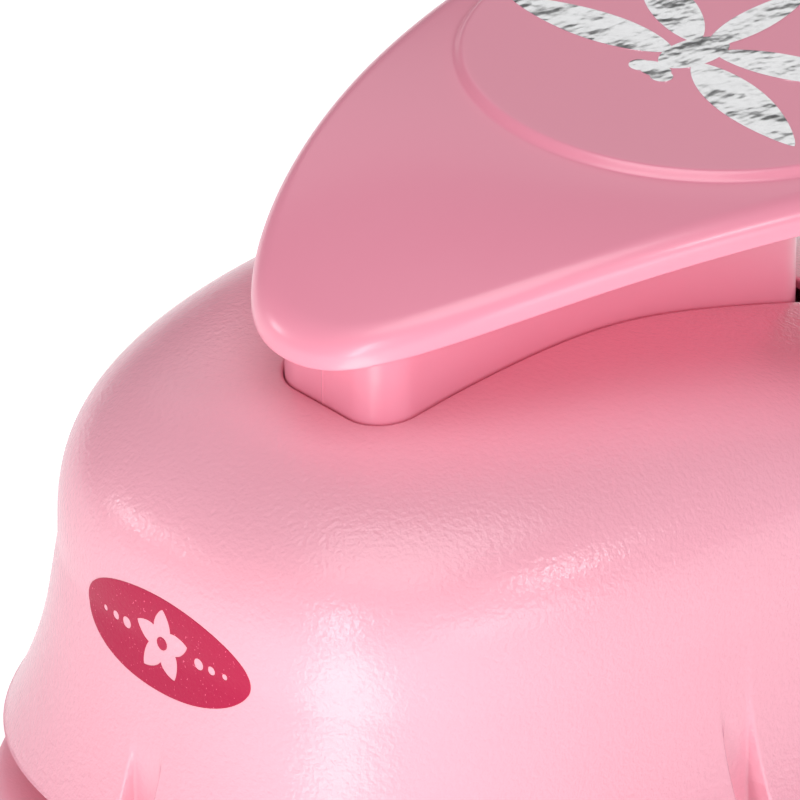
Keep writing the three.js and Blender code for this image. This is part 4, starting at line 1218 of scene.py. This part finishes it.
def make_rivets():
    for prefix, names, shank_radius, head_height in (("frame_rivet", SIDES, 1.5, 0.9),
                                                     ("bracket_rivet", CORNERS, 1.1, 0.8)):
        for node, x, y, head_radius, z0, z1 in family(prefix, names):
            part = moved(rivet(shank_radius, head_radius, head_height, z1 - z0), (x, y, z0))
            mesh_object(f"{node}_domed", part, FRAME_STEEL, "housing", node, "frame_steel")


def spring(radius, wire, z0, z1, turns):
    """Compression spring of round wire with closed end coils."""
    steps = round(turns * 40)
    around = np.arange(14) * TURN / 14
    closed = 0.75 / turns
    low, high = z0 + wire, z1 - wire
    up = np.array([0, 0, 1])
    rings = []
    for share in np.arange(steps + 1) / steps:
        rise = np.clip((share - closed) / (1 - 2 * closed), 0, 1)
        rise = rise * rise * (3 - 2 * rise) * 0.25 + rise * 0.75
        lift = (min(share, closed) - min(1 - share, closed)) / closed * 0.5
        z = low + wire * (lift + 0.5) + (high - low - 2 * wire) * rise
        angle = share * turns * TURN
        spoke = np.array([math.cos(angle), math.sin(angle), 0])
        centre = spoke * radius + up * z
        rings.append(centre + wire * (np.cos(around)[:, None] * spoke + np.sin(around)[:, None] * up))
    return sealed(rings)


def make_springs():
    """Return springs between the guide plate and the holder, each with its own mesh."""
    radius, wire, turns = 2.6, 0.42, 5.5
    places = zip(family("return_spring", SPRING_SPOTS), SPRING_SPOTS.values())
    for (node, _, _, _, z0, z1), (x, y) in places:
        part = moved(spring(radius, wire, z0, z1, turns), (x, y, 0))
        piece = mesh_object(f"{node}_coil", part, SPRING_STEEL, "housing", node, "spring_steel")
        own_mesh(piece)


# ---------------------------------------------------------------- stage, light and camera

AIM = (-6.123, -8.445, 33.274)
CAMERA_AZIMUTH, CAMERA_ELEVATION = 47.39, 31.03
FLOOR_GAP = 0.03
CAMERA_DISTANCE = 1000.0
LENS = 580.2
SOFTBOX_DISTANCE, SOFTBOX_AIM = 0.9, 0.03
TABLE_LIGHT_HEIGHT = 0.002


def direction(azimuth, elevation):
    a, e = math.radians(azimuth), math.radians(elevation)
    return Vector((math.sin(a) * math.cos(e), -math.cos(a) * math.cos(e), math.sin(e)))


def make_camera():
    data = bpy.data.cameras.new("camera")
    data.lens = LENS
    data.sensor_width = 36
    data.clip_start, data.clip_end = 0.05, 50
    camera = linked("camera", data)
    back = direction(CAMERA_AZIMUTH, CAMERA_ELEVATION)
    camera.location = (Vector(AIM) + back * CAMERA_DISTANCE) * MM
    camera.rotation_mode = "QUATERNION"
    camera.rotation_quaternion = (-back).to_track_quat("-Z", "Y")
    bpy.context.scene.camera = camera


def area_light(name, width, height, watts, colour):
    data = bpy.data.lights.new(name, "AREA")
    data.shape = "RECTANGLE"
    data.size, data.size_y = width, height
    data.energy = watts
    data.color = colour
    return linked(name, data)


def make_softbox(name, azimuth, elevation, width, height, watts):
    """A square-edged area light aimed at the punch."""
    lamp = area_light(name, width, height, watts, (1, 1, 1))
    back = direction(azimuth, elevation)
    lamp.location = back * SOFTBOX_DISTANCE + Vector((0, 0, SOFTBOX_AIM))
    lamp.rotation_mode = "QUATERNION"
    lamp.rotation_quaternion = (-back).to_track_quat("-Z", "Y")


def make_table_light(name, azimuth, distance, width, length, watts):
    """A warm light panel flat on the table in front of the punch, facing up."""
    lamp = area_light(name, width, length, watts, (1, 0.99, 0.86))
    lamp.location = direction(azimuth, 0) * distance + Vector((0, 0, TABLE_LIGHT_HEIGHT))
    lamp.rotation_euler = (math.pi, 0, math.radians(azimuth))


def make_world():
    """A dim tent: grey towards the camera, darker behind the punch."""
    world = bpy.data.worlds.new("studio")
    bpy.context.scene.world = world
    world.use_nodes = True
    tree = world.node_tree
    sky = tree.nodes["Background"]
    where = tree.nodes.new("ShaderNodeTexCoord")
    split = tree.nodes.new("ShaderNodeSeparateXYZ")
    ramp = tree.nodes.new("ShaderNodeMapRange")
    for name, value in (("From Min", -0.2), ("From Max", 0.6), ("To Min", 0.17), ("To Max", 0.1)):
        ramp.inputs[name].default_value = value
    ramp.interpolation_type = "SMOOTHSTEP"
    tree.links.new(where.outputs["Generated"], split.inputs[0])
    tree.links.new(split.outputs["Y"], ramp.inputs["Value"])
    tree.links.new(ramp.outputs["Result"], sky.inputs["Strength"])
    sky.inputs["Color"].default_value = (1, 1, 1, 1)


def make_floor():
    """A pale paper sweep, wide enough to fill every view."""
    half, level = 30, -FLOOR_GAP * MM
    corners = [(-half, -half, level), (half, -half, level), (half, half, level), (-half, half, level)]
    mesh = bpy.data.meshes.new("floor")
    mesh.from_pydata(corners, [], [(0, 1, 2, 3)])
    paper = Nodes("floor_paper").set(Roughness=0.9, Specular_IOR_Level=0.1, Emission_Color=(1, 1, 1, 1),
                                     Emission_Strength=0.5)
    fibre = paper.noise(40.0, 3.0)
    tone = paper.mix(fibre, (0.93, 0.93, 0.93), (0.95, 0.95, 0.95))
    mesh.materials.append(paper.finish(tone, None))
    floor = linked("floor", mesh)


make_camera()
make_world()
make_floor()
make_softbox("overhead_box", 25, 74, 0.7, 0.7, 3.8)
make_softbox("low_box", 80, 5, 0.6, 0.24, 1.4)
make_softbox("front_strip", 20, 9, 0.1, 0.6, 2.3)
make_softbox("left_box", -50, 14, 0.13, 0.12, 0.55)
make_softbox("right_box", 97, 32, 0.2, 0.14, 1.0)
make_softbox("back_box", -130, 34, 0.8, 0.3, 0.6)
make_table_light("table_light", 25, 0.17, 0.036, 0.2, 0.1)
bpy.context.scene.view_settings.view_transform = "Standard"

make_shell()
make_print()
make_base()
make_lever()
make_foil()
make_plates()
make_punch()
make_lever_core()
make_bracket()
make_pivot()
make_screws()
make_rivets()
make_springs()
